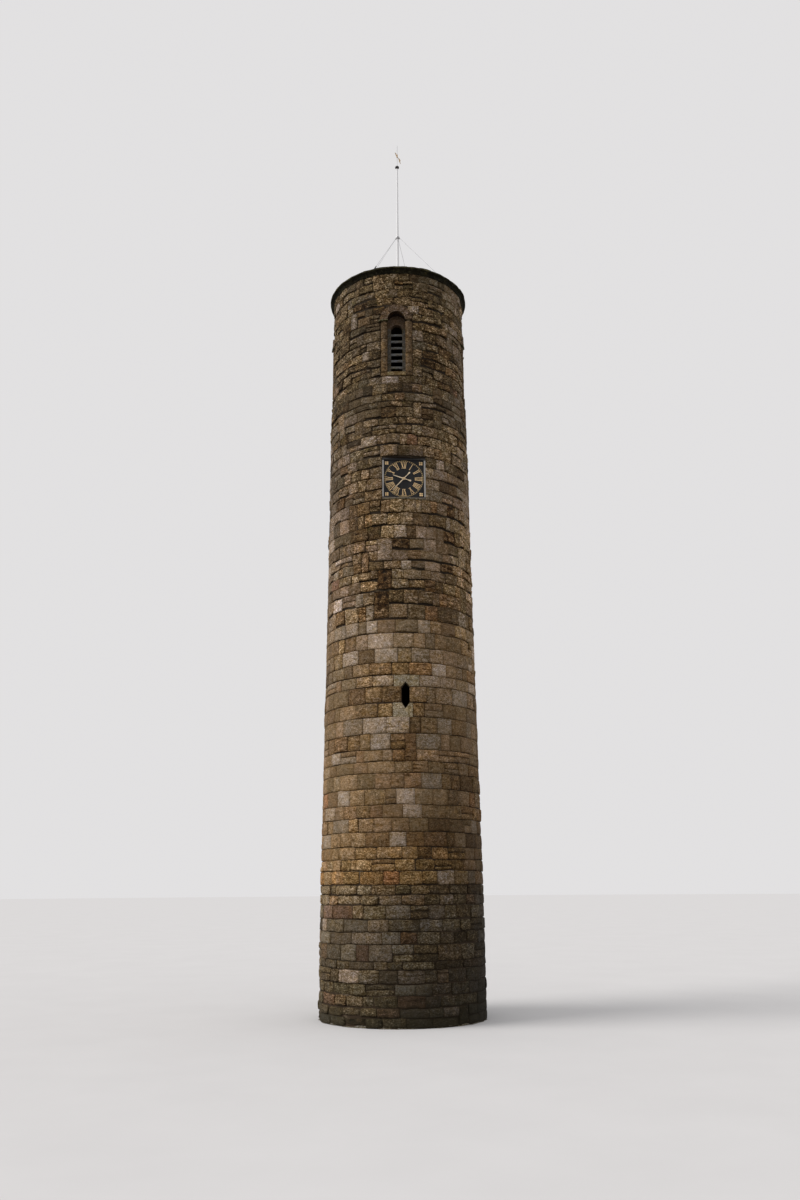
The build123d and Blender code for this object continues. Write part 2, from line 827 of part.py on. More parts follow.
plank_width = 2 * door_half_width / plank_count
with BuildPart() as door_leaf:
    with BuildSketch(outward(headings["rear"], door_leaf_back)):
        add(arched_outline(door_leaf_half_width, entrance_level, door_spring_level))
    extrude(amount=door_leaf_thickness)
    with BuildSketch(outward(headings["rear"], door_leaf_front - plank_groove)):
        for joint in range(1, plank_count):
            with Locations((joint * plank_width - door_half_width, entrance_level)):
                Rectangle(
                    plank_groove,
                    door_spring_level + door_leaf_half_width - entrance_level,
                    align=(Align.CENTER, Align.MIN),
                )
    extrude(amount=plank_groove, mode=Mode.SUBTRACT)
save(door_leaf.part, "door_leaf")
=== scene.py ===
"""Masonry, fittings and finishes of a round stone tower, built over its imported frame.

Every size is in metres in the frame of the tower: +Z up, the front towards -Y. A heading is an angle in
radians about +Z, counted from +X: the front is at -pi / 2.
"""

import logging
import math
import random
from dataclasses import dataclass, replace
from enum import Enum
from typing import Any, Callable, Optional, Sequence, Union

import bmesh
import bpy
from mathutils import Matrix, Vector, noise


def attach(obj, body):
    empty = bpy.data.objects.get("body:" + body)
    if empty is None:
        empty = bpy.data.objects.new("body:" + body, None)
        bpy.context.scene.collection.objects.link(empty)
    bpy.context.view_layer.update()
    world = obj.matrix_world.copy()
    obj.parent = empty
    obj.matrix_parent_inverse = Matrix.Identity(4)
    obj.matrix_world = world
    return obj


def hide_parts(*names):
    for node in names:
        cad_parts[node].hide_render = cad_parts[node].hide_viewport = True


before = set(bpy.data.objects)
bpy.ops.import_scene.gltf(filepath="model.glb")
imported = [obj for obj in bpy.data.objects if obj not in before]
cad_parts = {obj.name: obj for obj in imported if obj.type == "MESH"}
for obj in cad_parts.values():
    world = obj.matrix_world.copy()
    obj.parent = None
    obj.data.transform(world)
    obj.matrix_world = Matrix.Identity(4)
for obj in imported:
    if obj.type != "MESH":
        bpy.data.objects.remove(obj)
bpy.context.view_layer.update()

log = logging.getLogger("tower")

Tint = tuple[float, float, float]
Arc = tuple[float, float]
Marks = tuple[tuple[float, float], ...]
Line = Callable[[float], float]
Place = Callable[[float, float, float], Vector]
Squeeze = Callable[[float, float, float], tuple[float, float]]

TOWER_BODY = "tower"
STONE_PROUD = 0.030
FACE_LIMIT = STONE_PROUD - 0.007
CAVITY_DEPTH = 0.022
CLOCK_HEADING = math.radians(-84.5)
CLOCK_LEVEL = 15.27
SPRING_LEVEL = 20.63
DOOR_SPRING = 2.75
WALL_HEAD = 22.30

# Powers of a lightness: of red and blue in the dark parts, and of all three channels in the light ones.
DARK_POWERS = (0.80, 1.60)
LIGHT_POWERS = (0.84, 0.87, 0.98)
# Casts that differ over one stone, first the cool one.
HUE_CASTS = ((0.97, 1.0, 1.05), (1.05, 1.0, 0.90))
BARE_CASTS = ((0.93, 0.96, 1.04), (1.04, 1.01, 0.88))
# Powers of red and blue where that of green is 1: for the shade over one block, and for a stone's strength.
SHADE_POWERS = (0.84, 1.42)
STONE_POWERS = (0.94, 1.22)
# What lies on the stones.
SOOT = (0.022, 0.017, 0.011)
LICHEN = (0.135, 0.115, 0.030)
PALE_BLOOM = (0.24, 0.205, 0.145)
DAMP = (0.028, 0.024, 0.013)
# Bedding, pits and decay of a stone that has no traits of its own.
PLAIN_TRAITS = (0.2, 0.5, 0.4)


class Side(Enum):
    """Quarters of the drum, by the heading of their middle."""

    FRONT = math.radians(-90)
    RIGHT = 0.0
    REAR = math.radians(90)
    LEFT = math.radians(180)


class Wire:
    """An output socket of a node tree that takes part in sums as a number does."""

    def __init__(self, web: "Web", socket: bpy.types.NodeSocket) -> None:
        """Keeps the socket and the tree it belongs to."""
        self.web = web
        self.socket = socket

    def _math(self, operation: str, other: Any, swapped: bool = False) -> "Wire":
        """Adds one Math node.

        Args:
            operation: Name of the Math node's operation.
            other: The other number or wire.
            swapped: True where the other one comes first.

        Returns:
            The result.
        """
        first, second = (other, self) if swapped else (self, other)
        return self.web.node("ShaderNodeMath", {"operation": operation}, {0: first, 1: second})

    def __add__(self, other: Any) -> "Wire":
        """Sum."""
        return self._math("ADD", other)

    def __radd__(self, other: Any) -> "Wire":
        """Sum with a number on the left."""
        return self._math("ADD", other, True)

    def __sub__(self, other: Any) -> "Wire":
        """Difference."""
        return self._math("SUBTRACT", other)

    def __rsub__(self, other: Any) -> "Wire":
        """Difference from a number."""
        return self._math("SUBTRACT", other, True)

    def __mul__(self, other: Any) -> "Wire":
        """Product."""
        return self._math("MULTIPLY", other)

    def __rmul__(self, other: Any) -> "Wire":
        """Product with a number on the left."""
        return self._math("MULTIPLY", other, True)

    def __truediv__(self, other: Any) -> "Wire":
        """Quotient."""
        return self._math("DIVIDE", other)

    def __pow__(self, other: Any) -> "Wire":
        """Its power."""
        return self._math("POWER", other)

    def __rpow__(self, other: Any) -> "Wire":
        """A number raised to it."""
        return self._math("POWER", other, True)

    def __abs__(self) -> "Wire":
        """Its size without the sign."""
        return self.web.node("ShaderNodeMath", {"operation": "ABSOLUTE"}, {0: self})


class Web:
    """The node tree of one material or of the world, written as expressions."""

    def __init__(self, name: str, world: bool = False) -> None:
        """Starts an empty material or world of that name.

        Args:
            name: Its name.
            world: True for the world.
        """
        self.owner = (bpy.data.worlds if world else bpy.data.materials).new(name)
        self.owner.use_nodes = True
        self.tree = self.owner.node_tree
        self.tree.nodes.clear()

    def node(
        self,
        kind: str,
        settings: Optional[dict[str, Any]] = None,
        inputs: Optional[dict[Union[int, str], Any]] = None,
        output: Union[int, str] = 0,
    ) -> Wire:
        """Adds one node.

        Args:
            kind: Blender's type name of the node.
            settings: Its own properties, set first.
            inputs: Values or wires of its input sockets, by index or name.
            output: The output socket to return.

        Returns:
            The wire from that output.
        """
        made = self.tree.nodes.new(kind)
        for key, value in (settings or {}).items():
            setattr(made, key, value)
        for key, value in (inputs or {}).items():
            socket = made.inputs[key]
            if isinstance(value, Wire):
                self.tree.links.new(value.socket, socket)
            elif isinstance(value, (tuple, list)) and socket.type == "RGBA":
                socket.default_value = (*value[:3], 1.0)
            else:
                socket.default_value = value
        return Wire(self, made.outputs[output])

    def coords(self) -> Wire:
        """Object coordinates."""
        return self.node("ShaderNodeTexCoord", output="Object")

    def attribute(self, name: str, output: str = "Color") -> Wire:
        """A named attribute of the mesh."""
        return self.node("ShaderNodeAttribute", {"attribute_name": name}, output=output)

    def scaled(self, vector: Wire, factors: Tint) -> Wire:
        """A vector with each axis multiplied by its own factor."""
        return self.node("ShaderNodeVectorMath", {"operation": "MULTIPLY"}, {0: vector, 1: factors})

    def shifted(self, vector: Wire, offset: Union[Wire, Tint]) -> Wire:
        """A vector plus an offset."""
        return self.node("ShaderNodeVectorMath", {"operation": "ADD"}, {0: vector, 1: offset})

    def level(self, vector: Wire) -> Wire:
        """The Z of a vector."""
        return self.node("ShaderNodeSeparateXYZ", None, {0: vector}, "Z")

    def channels(self, colour: Wire) -> tuple[Wire, Wire, Wire]:
        """The three channels of a colour.

        Args:
            colour: The colour.

        Returns:
            A wire for each channel.
        """
        split = self.node("ShaderNodeSeparateColor", None, {0: colour})
        outputs = split.socket.node.outputs
        return Wire(self, outputs[0]), Wire(self, outputs[1]), Wire(self, outputs[2])

    def noise(self, vector: Wire, scale: float, detail: float = 4.0, rough: float = 0.6) -> Wire:
        """Fractal noise about 0.5."""
        inputs = {"Vector": vector, "Scale": scale, "Detail": detail, "Roughness": rough}
        return self.node("ShaderNodeTexNoise", None, inputs)

    def cells(self, vector: Wire, scale: float) -> Wire:
        """Distance to the nearest of scattered points."""
        return self.node("ShaderNodeTexVoronoi", None, {"Vector": vector, "Scale": scale})

    def constant(self, value: float) -> Wire:
        """A number as a wire, for sums that expect one."""
        return self.node("ShaderNodeMath", {"operation": "ADD"}, {0: value, 1: 0.0})

    def shown(self) -> Wire:
        """1 for what the camera sees, directly or mirrored, and 0 for bounced light."""
        seen = self.node("ShaderNodeLightPath", output="Is Camera Ray")
        mirrored = self.node("ShaderNodeLightPath", output="Is Glossy Ray")
        return self.node("ShaderNodeMath", {"operation": "MAXIMUM"}, {0: seen, 1: mirrored})

    def ramp(self, value: Wire, start: float, end: float) -> Wire:
        """A value taken smoothly from 0 at start to 1 at end."""
        inputs = {"Value": value, "From Min": start, "From Max": end}
        return self.node("ShaderNodeMapRange", {"interpolation_type": "SMOOTHSTEP"}, inputs)

    def mix(self, share: Union[Wire, float], first: Any, second: Any, blend: str = "MIX") -> Wire:
        """Two colours mixed.

        Args:
            share: How much of the second colour, 0 to 1.
            first: A colour or a wire.
            second: A colour or a wire.
            blend: The Mix node's blend type.

        Returns:
            The colour.
        """
        settings = {"data_type": "RGBA", "blend_type": blend}
        return self.node("ShaderNodeMix", settings, {0: share, 6: first, 7: second}, 2)

    def grey(self, value: Wire) -> Wire:
        """A colour with three equal channels."""
        return self.node("ShaderNodeCombineColor", None, {0: value, 1: value, 2: value})

    def dimmed(self, colour: Any, value: Wire) -> Wire:
        """A colour multiplied by a number."""
        return self.mix(1.0, colour, self.grey(value), "MULTIPLY")

    def browned(self, colour: Any, value: Wire) -> Wire:
        """A colour multiplied by a number, its dark parts turned to brown.

        Args:
            colour: The colour.
            value: The number, 1 where the colour stays.

        Returns:
            The colour.
        """
        low = self.node("ShaderNodeMath", {"operation": "MINIMUM"}, {0: value, 1: 1.0})
        high = value / low
        dark_red, dark_blue = DARK_POWERS
        red, green, blue = LIGHT_POWERS
        parts = {0: low**dark_red * high**red, 1: low * high**green, 2: low**dark_blue * high**blue}
        return self.mix(1.0, colour, self.node("ShaderNodeCombineColor", None, parts), "MULTIPLY")

    def finish(
        self,
        colour: Any,
        roughness: Union[Wire, float],
        relief: Optional[Wire] = None,
        relief_depth: float = 0.01,
        metallic: Union[Wire, float] = 0.0,
        specular: float = 0.35,
    ) -> bpy.types.Material:
        """Closes the tree with a surface shader.

        Args:
            colour: Base colour.
            roughness: Roughness, 0 to 1.
            relief: Height that bends the light, 0 to 1.
            relief_depth: Depth of that height in metres.
            metallic: Share of metal.
            specular: Level of the plain reflection.

        Returns:
            The material.
        """
        inputs = {
            "Base Color": colour,
            "Roughness": roughness,
            "Metallic": metallic,
            "Specular IOR Level": specular,
        }
        if relief is not None:
            bump = {"Strength": 1.0, "Distance": relief_depth, "Height": relief}
            inputs["Normal"] = self.node("ShaderNodeBump", None, bump, "Normal")
        self.close(self.node("ShaderNodeBsdfPrincipled", None, inputs), "ShaderNodeOutputMaterial")
        return self.owner

    def close(self, shader: Wire, kind: str) -> None:
        """Joins a shader to the surface of an output node of that kind."""
        made = self.tree.nodes.new(kind)
        self.tree.links.new(shader.socket, made.inputs["Surface"])


@dataclass(frozen=True)
class StoneGrain:
    """Patterns on the face of sandstone, each a wire from 0 to 1."""

    web: Web
    decay: Wire
    lump: Wire
    chip: Wire
    crust: Wire
    grain: Wire
    seams: Wire
    pit: Wire
    speck: Wire
    crumble: Wire
    crack: Wire

    @classmethod
    def read(cls, web: Web, own: Wire, traits: Sequence[Wire]) -> "StoneGrain":
        """Lays the patterns over a stone.

        Args:
            web: The material's tree.
            own: Coordinates that differ from stone to stone.
            traits: Its bedding, pits and decay.

        Returns:
            The patterns.
        """
        bedding, pits, decay = traits
        flat = web.scaled(own, (1.0, 1.0, 1.6))
        lump = web.noise(flat, 8.0, 6.0, 0.76)
        crust = web.noise(web.shifted(own, (3.0, 9.0, 4.0)), 3.6, 6.0, 0.70)
        layers = web.noise(web.scaled(own, (2.6, 2.6, 19.0)), 1.0, 5.0, 0.68)
        veins = web.noise(web.scaled(own, (4.2, 4.2, 8.0)), 1.0, 5.0, 0.62)
        warp = web.scaled(web.noise(own, 12.0, 3.0), (0.06, 0.06, 0.06))
        holes = web.cells(web.shifted(flat, warp), 13.0)
        specks = web.cells(web.shifted(own, warp), 27.0)
        split = web.ramp(abs(veins - 0.5), 0.018, 0.003) * web.ramp(crust, 0.42, 0.56)
        return cls(
            web,
            decay,
            lump=lump,
            chip=web.noise(web.shifted(flat, (5.0, 2.0, 7.0)), 23.0, 3.0, 0.62),
            crust=crust,
            grain=web.noise(flat, 38.0, 4.0, 0.75),
            seams=web.ramp(layers, 0.48, 0.36) * bedding,
            pit=web.ramp(holes, 0.36, 0.14) * web.ramp(crust, 0.46, 0.56) * pits,
            speck=web.ramp(specks, 0.32, 0.12) * web.ramp(lump, 0.44, 0.56),
            crumble=web.ramp(crust, 0.52, 0.64) * decay,
            crack=split * (0.35 + decay * 0.65),
        )

    def cast(self, colour: Any, own: Wire) -> Wire:
        """The stone's colour, cooler and warmer in places and yellower where it has decayed.

        Args:
            colour: Its plain colour.
            own: Coordinates that differ from stone to stone.

        Returns:
            The colour.
        """
        web = self.web
        hue = web.noise(web.shifted(own, (8.0, 1.0, 6.0)), 4.6, 5.0, 0.66)
        colour = web.mix(1.0, colour, web.mix(web.ramp(hue, 0.36, 0.64), *HUE_CASTS), "MULTIPLY")
        bare = web.ramp(self.crust + (self.decay - 0.5) * 0.34, 0.46, 0.60)
        return web.mix(1.0, colour, web.mix(bare, *BARE_CASTS), "MULTIPLY")

    def shade(self, contrast: float, pitting: float) -> Wire:
        """How light the face is from spot to spot, about 1.

        Args:
            contrast: How strongly the patterns show.
            pitting: How strongly pits and specks show.

        Returns:
            The lightness.
        """
        rough = (self.lump - 0.5) * 7.5 + (self.chip - 0.5) * 8.5
        stops = rough + (self.grain - 0.5) * 4.5 + (self.crust - 0.5) * 2.6
        shade = 2.0 ** (stops * (0.62 + self.decay * 0.70) * contrast)
        shade = shade * (1.0 - self.seams * 0.75) * (1.0 - self.crack * 0.72)
        shade = shade * (1.0 - self.pit * (0.85 * pitting)) * (1.0 - self.speck * (0.60 * pitting))
        return shade * (1.0 - self.crumble * 0.30)

    def height(self) -> Wire:
        """Relief of the face."""
        swell = self.lump + self.chip * 0.35 + self.grain * 0.22 + self.crust * 0.5
        worn = self.pit * 0.30 + self.speck * 0.10 + self.crumble * 0.2
        return swell - worn - self.crack * 0.16 - self.seams * 0.30


@dataclass(frozen=True)
class Sandstone:
    """Weathered sandstone. Its colour comes from each stone's own tint, or from one given here."""

    name: str
    tint: Optional[Tint] = None
    relief: float = 0.05
    contrast: float = 1.0
    pitting: float = 1.0
    damp_top: float = 0.0
    lichen: float = 0.3
    soot: float = 0.35
    head_tint: Optional[Tint] = None
    head_level: float = 0.0

    def material(self) -> bpy.types.Material:
        """Builds the material.

        Returns:
            A material that reads the attributes stone_tint and stone_trait where it has no tint.
        """
        web = Web(self.name)
        place = web.coords()
        if self.tint is None:
            colour = web.attribute("stone_tint")
            traits = web.channels(web.attribute("stone_trait"))
            own = web.shifted(place, web.grey(web.attribute("stone_trait", "Alpha") * 40.0))
        else:
            colour = self.tint
            traits = [web.constant(value) for value in PLAIN_TRAITS]
            own = place
        if self.head_tint is not None:
            head = web.ramp(web.level(place), self.head_level - 0.02, self.head_level + 0.02)
            colour = web.mix(head, colour, self.head_tint)
        grain = StoneGrain.read(web, own, traits)
        colour = web.browned(grain.cast(colour, own), grain.shade(self.contrast, self.pitting))
        return web.finish(self.grown(web, colour), 0.94, grain.height(), self.relief, specular=0.15)

    def grown(self, web: Web, colour: Wire) -> Wire:
        """The stones' colour with soot, lichen, pale bloom and damp over them.

        Args:
            web: The material's tree.
            colour: Colour of the stones.

        Returns:
            The colour.
        """
        place = web.coords()
        drift = web.noise(web.scaled(place, (1.0, 1.0, 0.30)), 1.1, 6.0, 0.68)
        colour = web.mix(web.ramp(drift, 0.54, 0.70) * self.soot, colour, SOOT)
        growth = web.noise(place, 2.6, 8.0, 0.78)
        colour = web.mix(web.ramp(growth, 0.56, 0.68) * self.lichen, colour, LICHEN)
        bloom = web.noise(web.shifted(place, (7.0, 3.0, 1.0)), 6.0, 6.0, 0.76)
        colour = web.mix(web.ramp(bloom, 0.60, 0.70) * 0.30, colour, PALE_BLOOM)
        if self.damp_top > 0:
            rise = web.ramp(web.level(place) + (growth - 0.5) * 1.6, self.damp_top, 0.0)
            colour = web.mix(rise * 0.65, colour, DAMP)
        return colour


@dataclass(frozen=True)
class Mortar:
    """Lime mortar behind the joints, washed out and dark, with paler pointing left in places."""

    name: str
    deep: Tint
    pale: Tint
    pointing: float = 0.6

    def material(self) -> bpy.types.Material:
        """Builds the material.

        Returns:
            The material.
        """
        web = Web(self.name)
        place = web.coords()
        patch = web.noise(place, 1.9, 6.0, 0.7)
        sand = web.noise(place, 60.0, 3.0, 0.7)
        colour = web.mix(web.ramp(patch, 0.54, 0.66) * self.pointing, self.deep, self.pale)
        colour = web.dimmed(colour, 0.6 + sand * 0.8)
        return web.finish(colour, 0.95, sand + patch, 0.012, specular=0.1)


@dataclass(frozen=True)
class Paint:
    """Old paint on metal or wood, chalked and streaked, worn to what lies under it.

    Above dark_level it is darkened by painted shadow, and it is rusty below foot_level.
    """

    name: str
    colour: Tint
    chalk: Tint
    under: Tint = (0.09, 0.05, 0.03)
    chalking: float = 0.2
    wear: float = 0.3
    roughness: float = 0.6
    dark_level: float = 99.0
    foot_level: float = -99.0
    # Colour of the painted shadow above dark_level.
    shade_and_grime: Tint = (0.012, 0.012, 0.014)
    rust: Tint = (0.070, 0.050, 0.034)

    def material(self) -> bpy.types.Material:
        """Builds the material.

        Returns:
            The material.
        """
        web = Web(self.name)
        place = web.coords()
        streak = web.noise(web.scaled(place, (1.0, 1.0, 0.12)), 6.0, 5.0, 0.65)
        patch = web.noise(place, 7.0, 5.0, 0.7)
        grit = web.noise(place, 90.0, 2.0, 0.5)
        colour = web.mix(web.ramp(streak, 0.40, 0.70) * self.chalking, self.colour, self.chalk)
        worn = web.ramp(patch * 0.7 + streak * 0.3, 0.58, 0.68) * self.wear
        colour = web.mix(worn, colour, self.under)
        level = web.level(place) + (patch - 0.5) * 0.03
        # Painted shadow over the part above dark_level.
        shadowed_top = web.ramp(level, self.dark_level, self.dark_level + 0.02)
        colour = web.mix(shadowed_top * 0.9, colour, self.shade_and_grime)
        rusty = web.ramp(level, self.foot_level, self.foot_level - 0.02)
        colour = web.mix(rusty * 0.85, colour, self.rust)
        colour = web.dimmed(colour, 0.85 + grit * 0.3)
        rough = self.roughness + streak * 0.2
        return web.finish(colour, rough, patch * 0.6 - worn + grit * 0.2, 0.002, specular=0.2)


@dataclass(frozen=True)
class Gilding:
    """Gold leaf that has dulled, with darker size showing in places."""

    name: str
    leaf: Tint = (0.76, 0.53, 0.27)
    dull: Tint = (0.28, 0.17, 0.07)
    metal: float = 0.25

    def material(self) -> bpy.types.Material:
        """Builds the material.

        Returns:
            The material.
        """
        web = Web(self.name)
        place = web.coords()
        patch = web.noise(place, 11.0, 5.0, 0.7)
        fine = web.noise(place, 140.0, 2.0, 0.5)
        worn = web.ramp(patch, 0.52, 0.66)
        colour = web.dimmed(web.mix(worn * 0.7, self.leaf, self.dull), 0.85 + fine * 0.3)
        return web.finish(colour, 0.42 + worn * 0.3, fine, 0.0008, metallic=self.metal * (1.0 - worn))


@dataclass(frozen=True)
class Metalwork:
    """Bare or galvanised metal with spots of rust."""

    name: str
    colour: Tint
    rust: Tint = (0.13, 0.045, 0.015)
    rusting: float = 0.5
    roughness: float = 0.5
    metal: float = 0.8

    def material(self) -> bpy.types.Material:
        """Builds the material.

        Returns:
            The material.
        """
        web = Web(self.name)
        place = web.coords()
        patch = web.noise(place, 13.0, 6.0, 0.7)
        fine = web.noise(place, 160.0, 2.0, 0.5)
        rust = web.ramp(patch, 0.50, 0.66) * self.rusting
        colour = web.dimmed(web.mix(rust, self.colour, self.rust), 0.8 + fine * 0.4)
        rough, metal = self.roughness + rust * 0.4, self.metal * (1.0 - rust)
        return web.finish(colour, rough, fine + patch, 0.0012, metallic=metal)


@dataclass(frozen=True)
class Boards:
    """Weathered timber, its grain upright or along one axis."""

    name: str
    colour: Tint
    dark: Tint
    stretch: Tint = (26.0, 26.0, 1.2)
    roughness: float = 0.75

    def material(self) -> bpy.types.Material:
        """Builds the material.

        Returns:
            The material.
        """
        web = Web(self.name)
        place = web.coords()
        fibre = web.noise(web.scaled(place, self.stretch), 1.0, 6.0, 0.65)
        patch = web.noise(place, 2.6, 4.0, 0.6)
        colour = web.mix(web.ramp(fibre, 0.36, 0.64), self.dark, self.colour)
        colour = web.dimmed(colour, 0.6 + patch * 0.8)
        return web.finish(colour, self.roughness, fibre, 0.004)


@dataclass(frozen=True)
class Lead:
    """Dull sheet lead with pale bloom."""

    name: str
    dull: Tint = (0.14, 0.145, 0.148)
    bloom: Tint = (0.24, 0.245, 0.25)
    drips: Tint = (0.075, 0.078, 0.070)

    def material(self) -> bpy.types.Material:
        """Builds the material.

        Returns:
            The material.
        """
        web = Web(self.name)
        place = web.coords()
        patch = web.noise(place, 3.1, 8.0, 0.74)
        fine = web.noise(place, 45.0, 3.0, 0.6)
        drip = web.noise(web.shifted(place, (4.0, 1.0, 0.0)), 9.0, 5.0, 0.7)
        colour = web.mix(web.ramp(patch, 0.40, 0.62), self.dull, self.bloom)
        colour = web.mix(web.ramp(drip, 0.56, 0.66) * 0.5, colour, self.drips)
        colour = web.dimmed(colour, 0.8 + fine * 0.4)
        return web.finish(colour, 0.62, patch + fine * 0.3, 0.006, metallic=0.35)


Finish = Union[Sandstone, Mortar, Paint, Gilding, Metalwork, Boards, Lead]


def lerp(low: float, high: float, share: float) -> float:
    """The value at a share of the way from low to high."""
    return low + (high - low) * share


def clamp(value: float, low: float = 0.0, high: float = 1.0) -> float:
    """The value, kept between low and high."""
    return min(high, max(low, value))


def by_level(rows: Sequence[tuple[float, Sequence[float]]], level: float) -> list[float]:
    """Values at a level, between the rows of a table that rises by level.

    Args:
        rows: Levels, each with its values.
        level: The level asked for.

    Returns:
        The values.
    """
    pairs = list(zip(rows, rows[1:]))
    (low, first), (high, second) = next((pair for pair in pairs if level <= pair[1][0]), pairs[-1])
    share = clamp((level - low) / (high - low))
    return [lerp(a, b, share) for a, b in zip(first, second)]


def apart(heading: float, other: float) -> float:
    """How far a heading lies from another one, between -pi and pi."""
    return (heading - other + math.pi) % math.tau - math.pi


def outward(heading: float) -> Vector:
    """Unit vector that points outwards along a heading."""
    return Vector((math.cos(heading), math.sin(heading), 0.0))


def rightward(heading: float) -> Vector:
    """Unit vector to the right of a heading, as seen from outside."""
    return Vector((-math.sin(heading), math.cos(heading), 0.0))


def at_level(point: Vector, level: float) -> Vector:
    """A point moved to a level."""
    return Vector((point.x, point.y, level))


def round_spot(heading: float, fineness: float, height: float) -> Vector:
    """Place in a field of noise that closes after a full turn."""
    return Vector((math.cos(heading) * fineness, math.sin(heading) * fineness, height))


def even(level: float) -> Line:
    """The line of a bed that stays at one level."""
    return lambda across: level


def link(name: str, data: Any) -> bpy.types.Object:
    """Puts a new object with that data into the scene."""
    made = bpy.data.objects.new(name, data)
    bpy.context.scene.collection.objects.link(made)
    return made


def meshed(name: str, form: bmesh.types.BMesh, material: bpy.types.Material) -> bpy.types.Object:
    """Turns a bmesh into an object of one material and frees it.

    Args:
        name: Name of the object and its mesh.
        form: Its shape.
        material: Its material.

    Returns:
        The object.
    """
    mesh = bpy.data.meshes.new(name)
    form.to_mesh(mesh)
    form.free()
    mesh.materials.append(material)
    return link(name, mesh)


def add_piece(
    name: str,
    form: bmesh.types.BMesh,
    finish: Finish,
    slot: str,
    replaced: Sequence[str] = (),
    smooth: bool = True,
) -> None:
    """Makes a finished piece of a bmesh, which moves with the tower's body.

    Args:
        name: Name of the piece.
        form: Its shape, in the frame of the tower.
        finish: Its finish.
        slot: Name of a material slot; not used.
        replaced: CAD nodes that it stands for.
        smooth: True where its faces are shaded as one surface.
    """
    for face in form.faces:
        face.smooth = smooth
    piece = meshed(name, form, finish.material())
    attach(piece, TOWER_BODY)
    if replaced:
        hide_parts(*replaced)
    log.info("%s: %d faces", name, len(piece.data.polygons))


def dress(finish: Finish, nodes: Sequence[str]) -> None:
    """Gives CAD nodes a finish.

    Args:
        finish: The finish.
        nodes: Names of the nodes.
    """
    material = finish.material()
    for name in nodes:
        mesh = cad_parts[name].data
        mesh.materials.clear()
        mesh.materials.append(material)
    log.info("%s: %s", material.name, ", ".join(nodes))


def add_disc(
    form: bmesh.types.BMesh, matrix: Matrix, height: float, foot: float, head: float, sides: int
) -> None:
    """Adds a disc, a cone or a rod to a bmesh.

    Args:
        form: Where it is added.
        matrix: Where its middle stands and how it is turned.
        height: Its length along its own z.
        foot: Radius of its lower end.
        head: Radius of its upper end.
        sides: Number of its sides.
    """
    bmesh.ops.create_cone(
        form, cap_ends=True, segments=sides, radius1=foot, radius2=head, depth=height, matrix=matrix
    )


class StoneKind(Enum):
    """Sorts of stone that show in the wall."""

    PLAIN = "plain"
    PALE = "pale"
    DARK = "dark"
    RED = "red"
    LAYERED = "layered"
    HOLLOW = "hollow"


# A chance below the limit gives a stone without a mark that sort.
CHANCES = ((0.05, StoneKind.PALE), (0.10, StoneKind.DARK), (0.11, StoneKind.RED), (0.19, StoneKind.LAYERED))
# Factors of the wall's colour. A pale stone takes all of its channels from the wall's green.
PALE_FACTORS = (2.10, 1.57, 1.10)
KIND_FACTORS = {
    StoneKind.DARK: (0.66, 0.63, 0.60),
    StoneKind.RED: (1.02, 0.82, 0.78),
    StoneKind.LAYERED: (0.98, 0.87, 0.76),
    # A hollow stone is darker as painted shade in its cavity.
    StoneKind.HOLLOW: (0.70, 0.62, 0.58),
}
STONE_CASTS = ((1.02, 1.0, 0.95), (0.985, 1.0, 0.98), (1.0, 1.0, 1.03), (1.02, 0.98, 0.97))


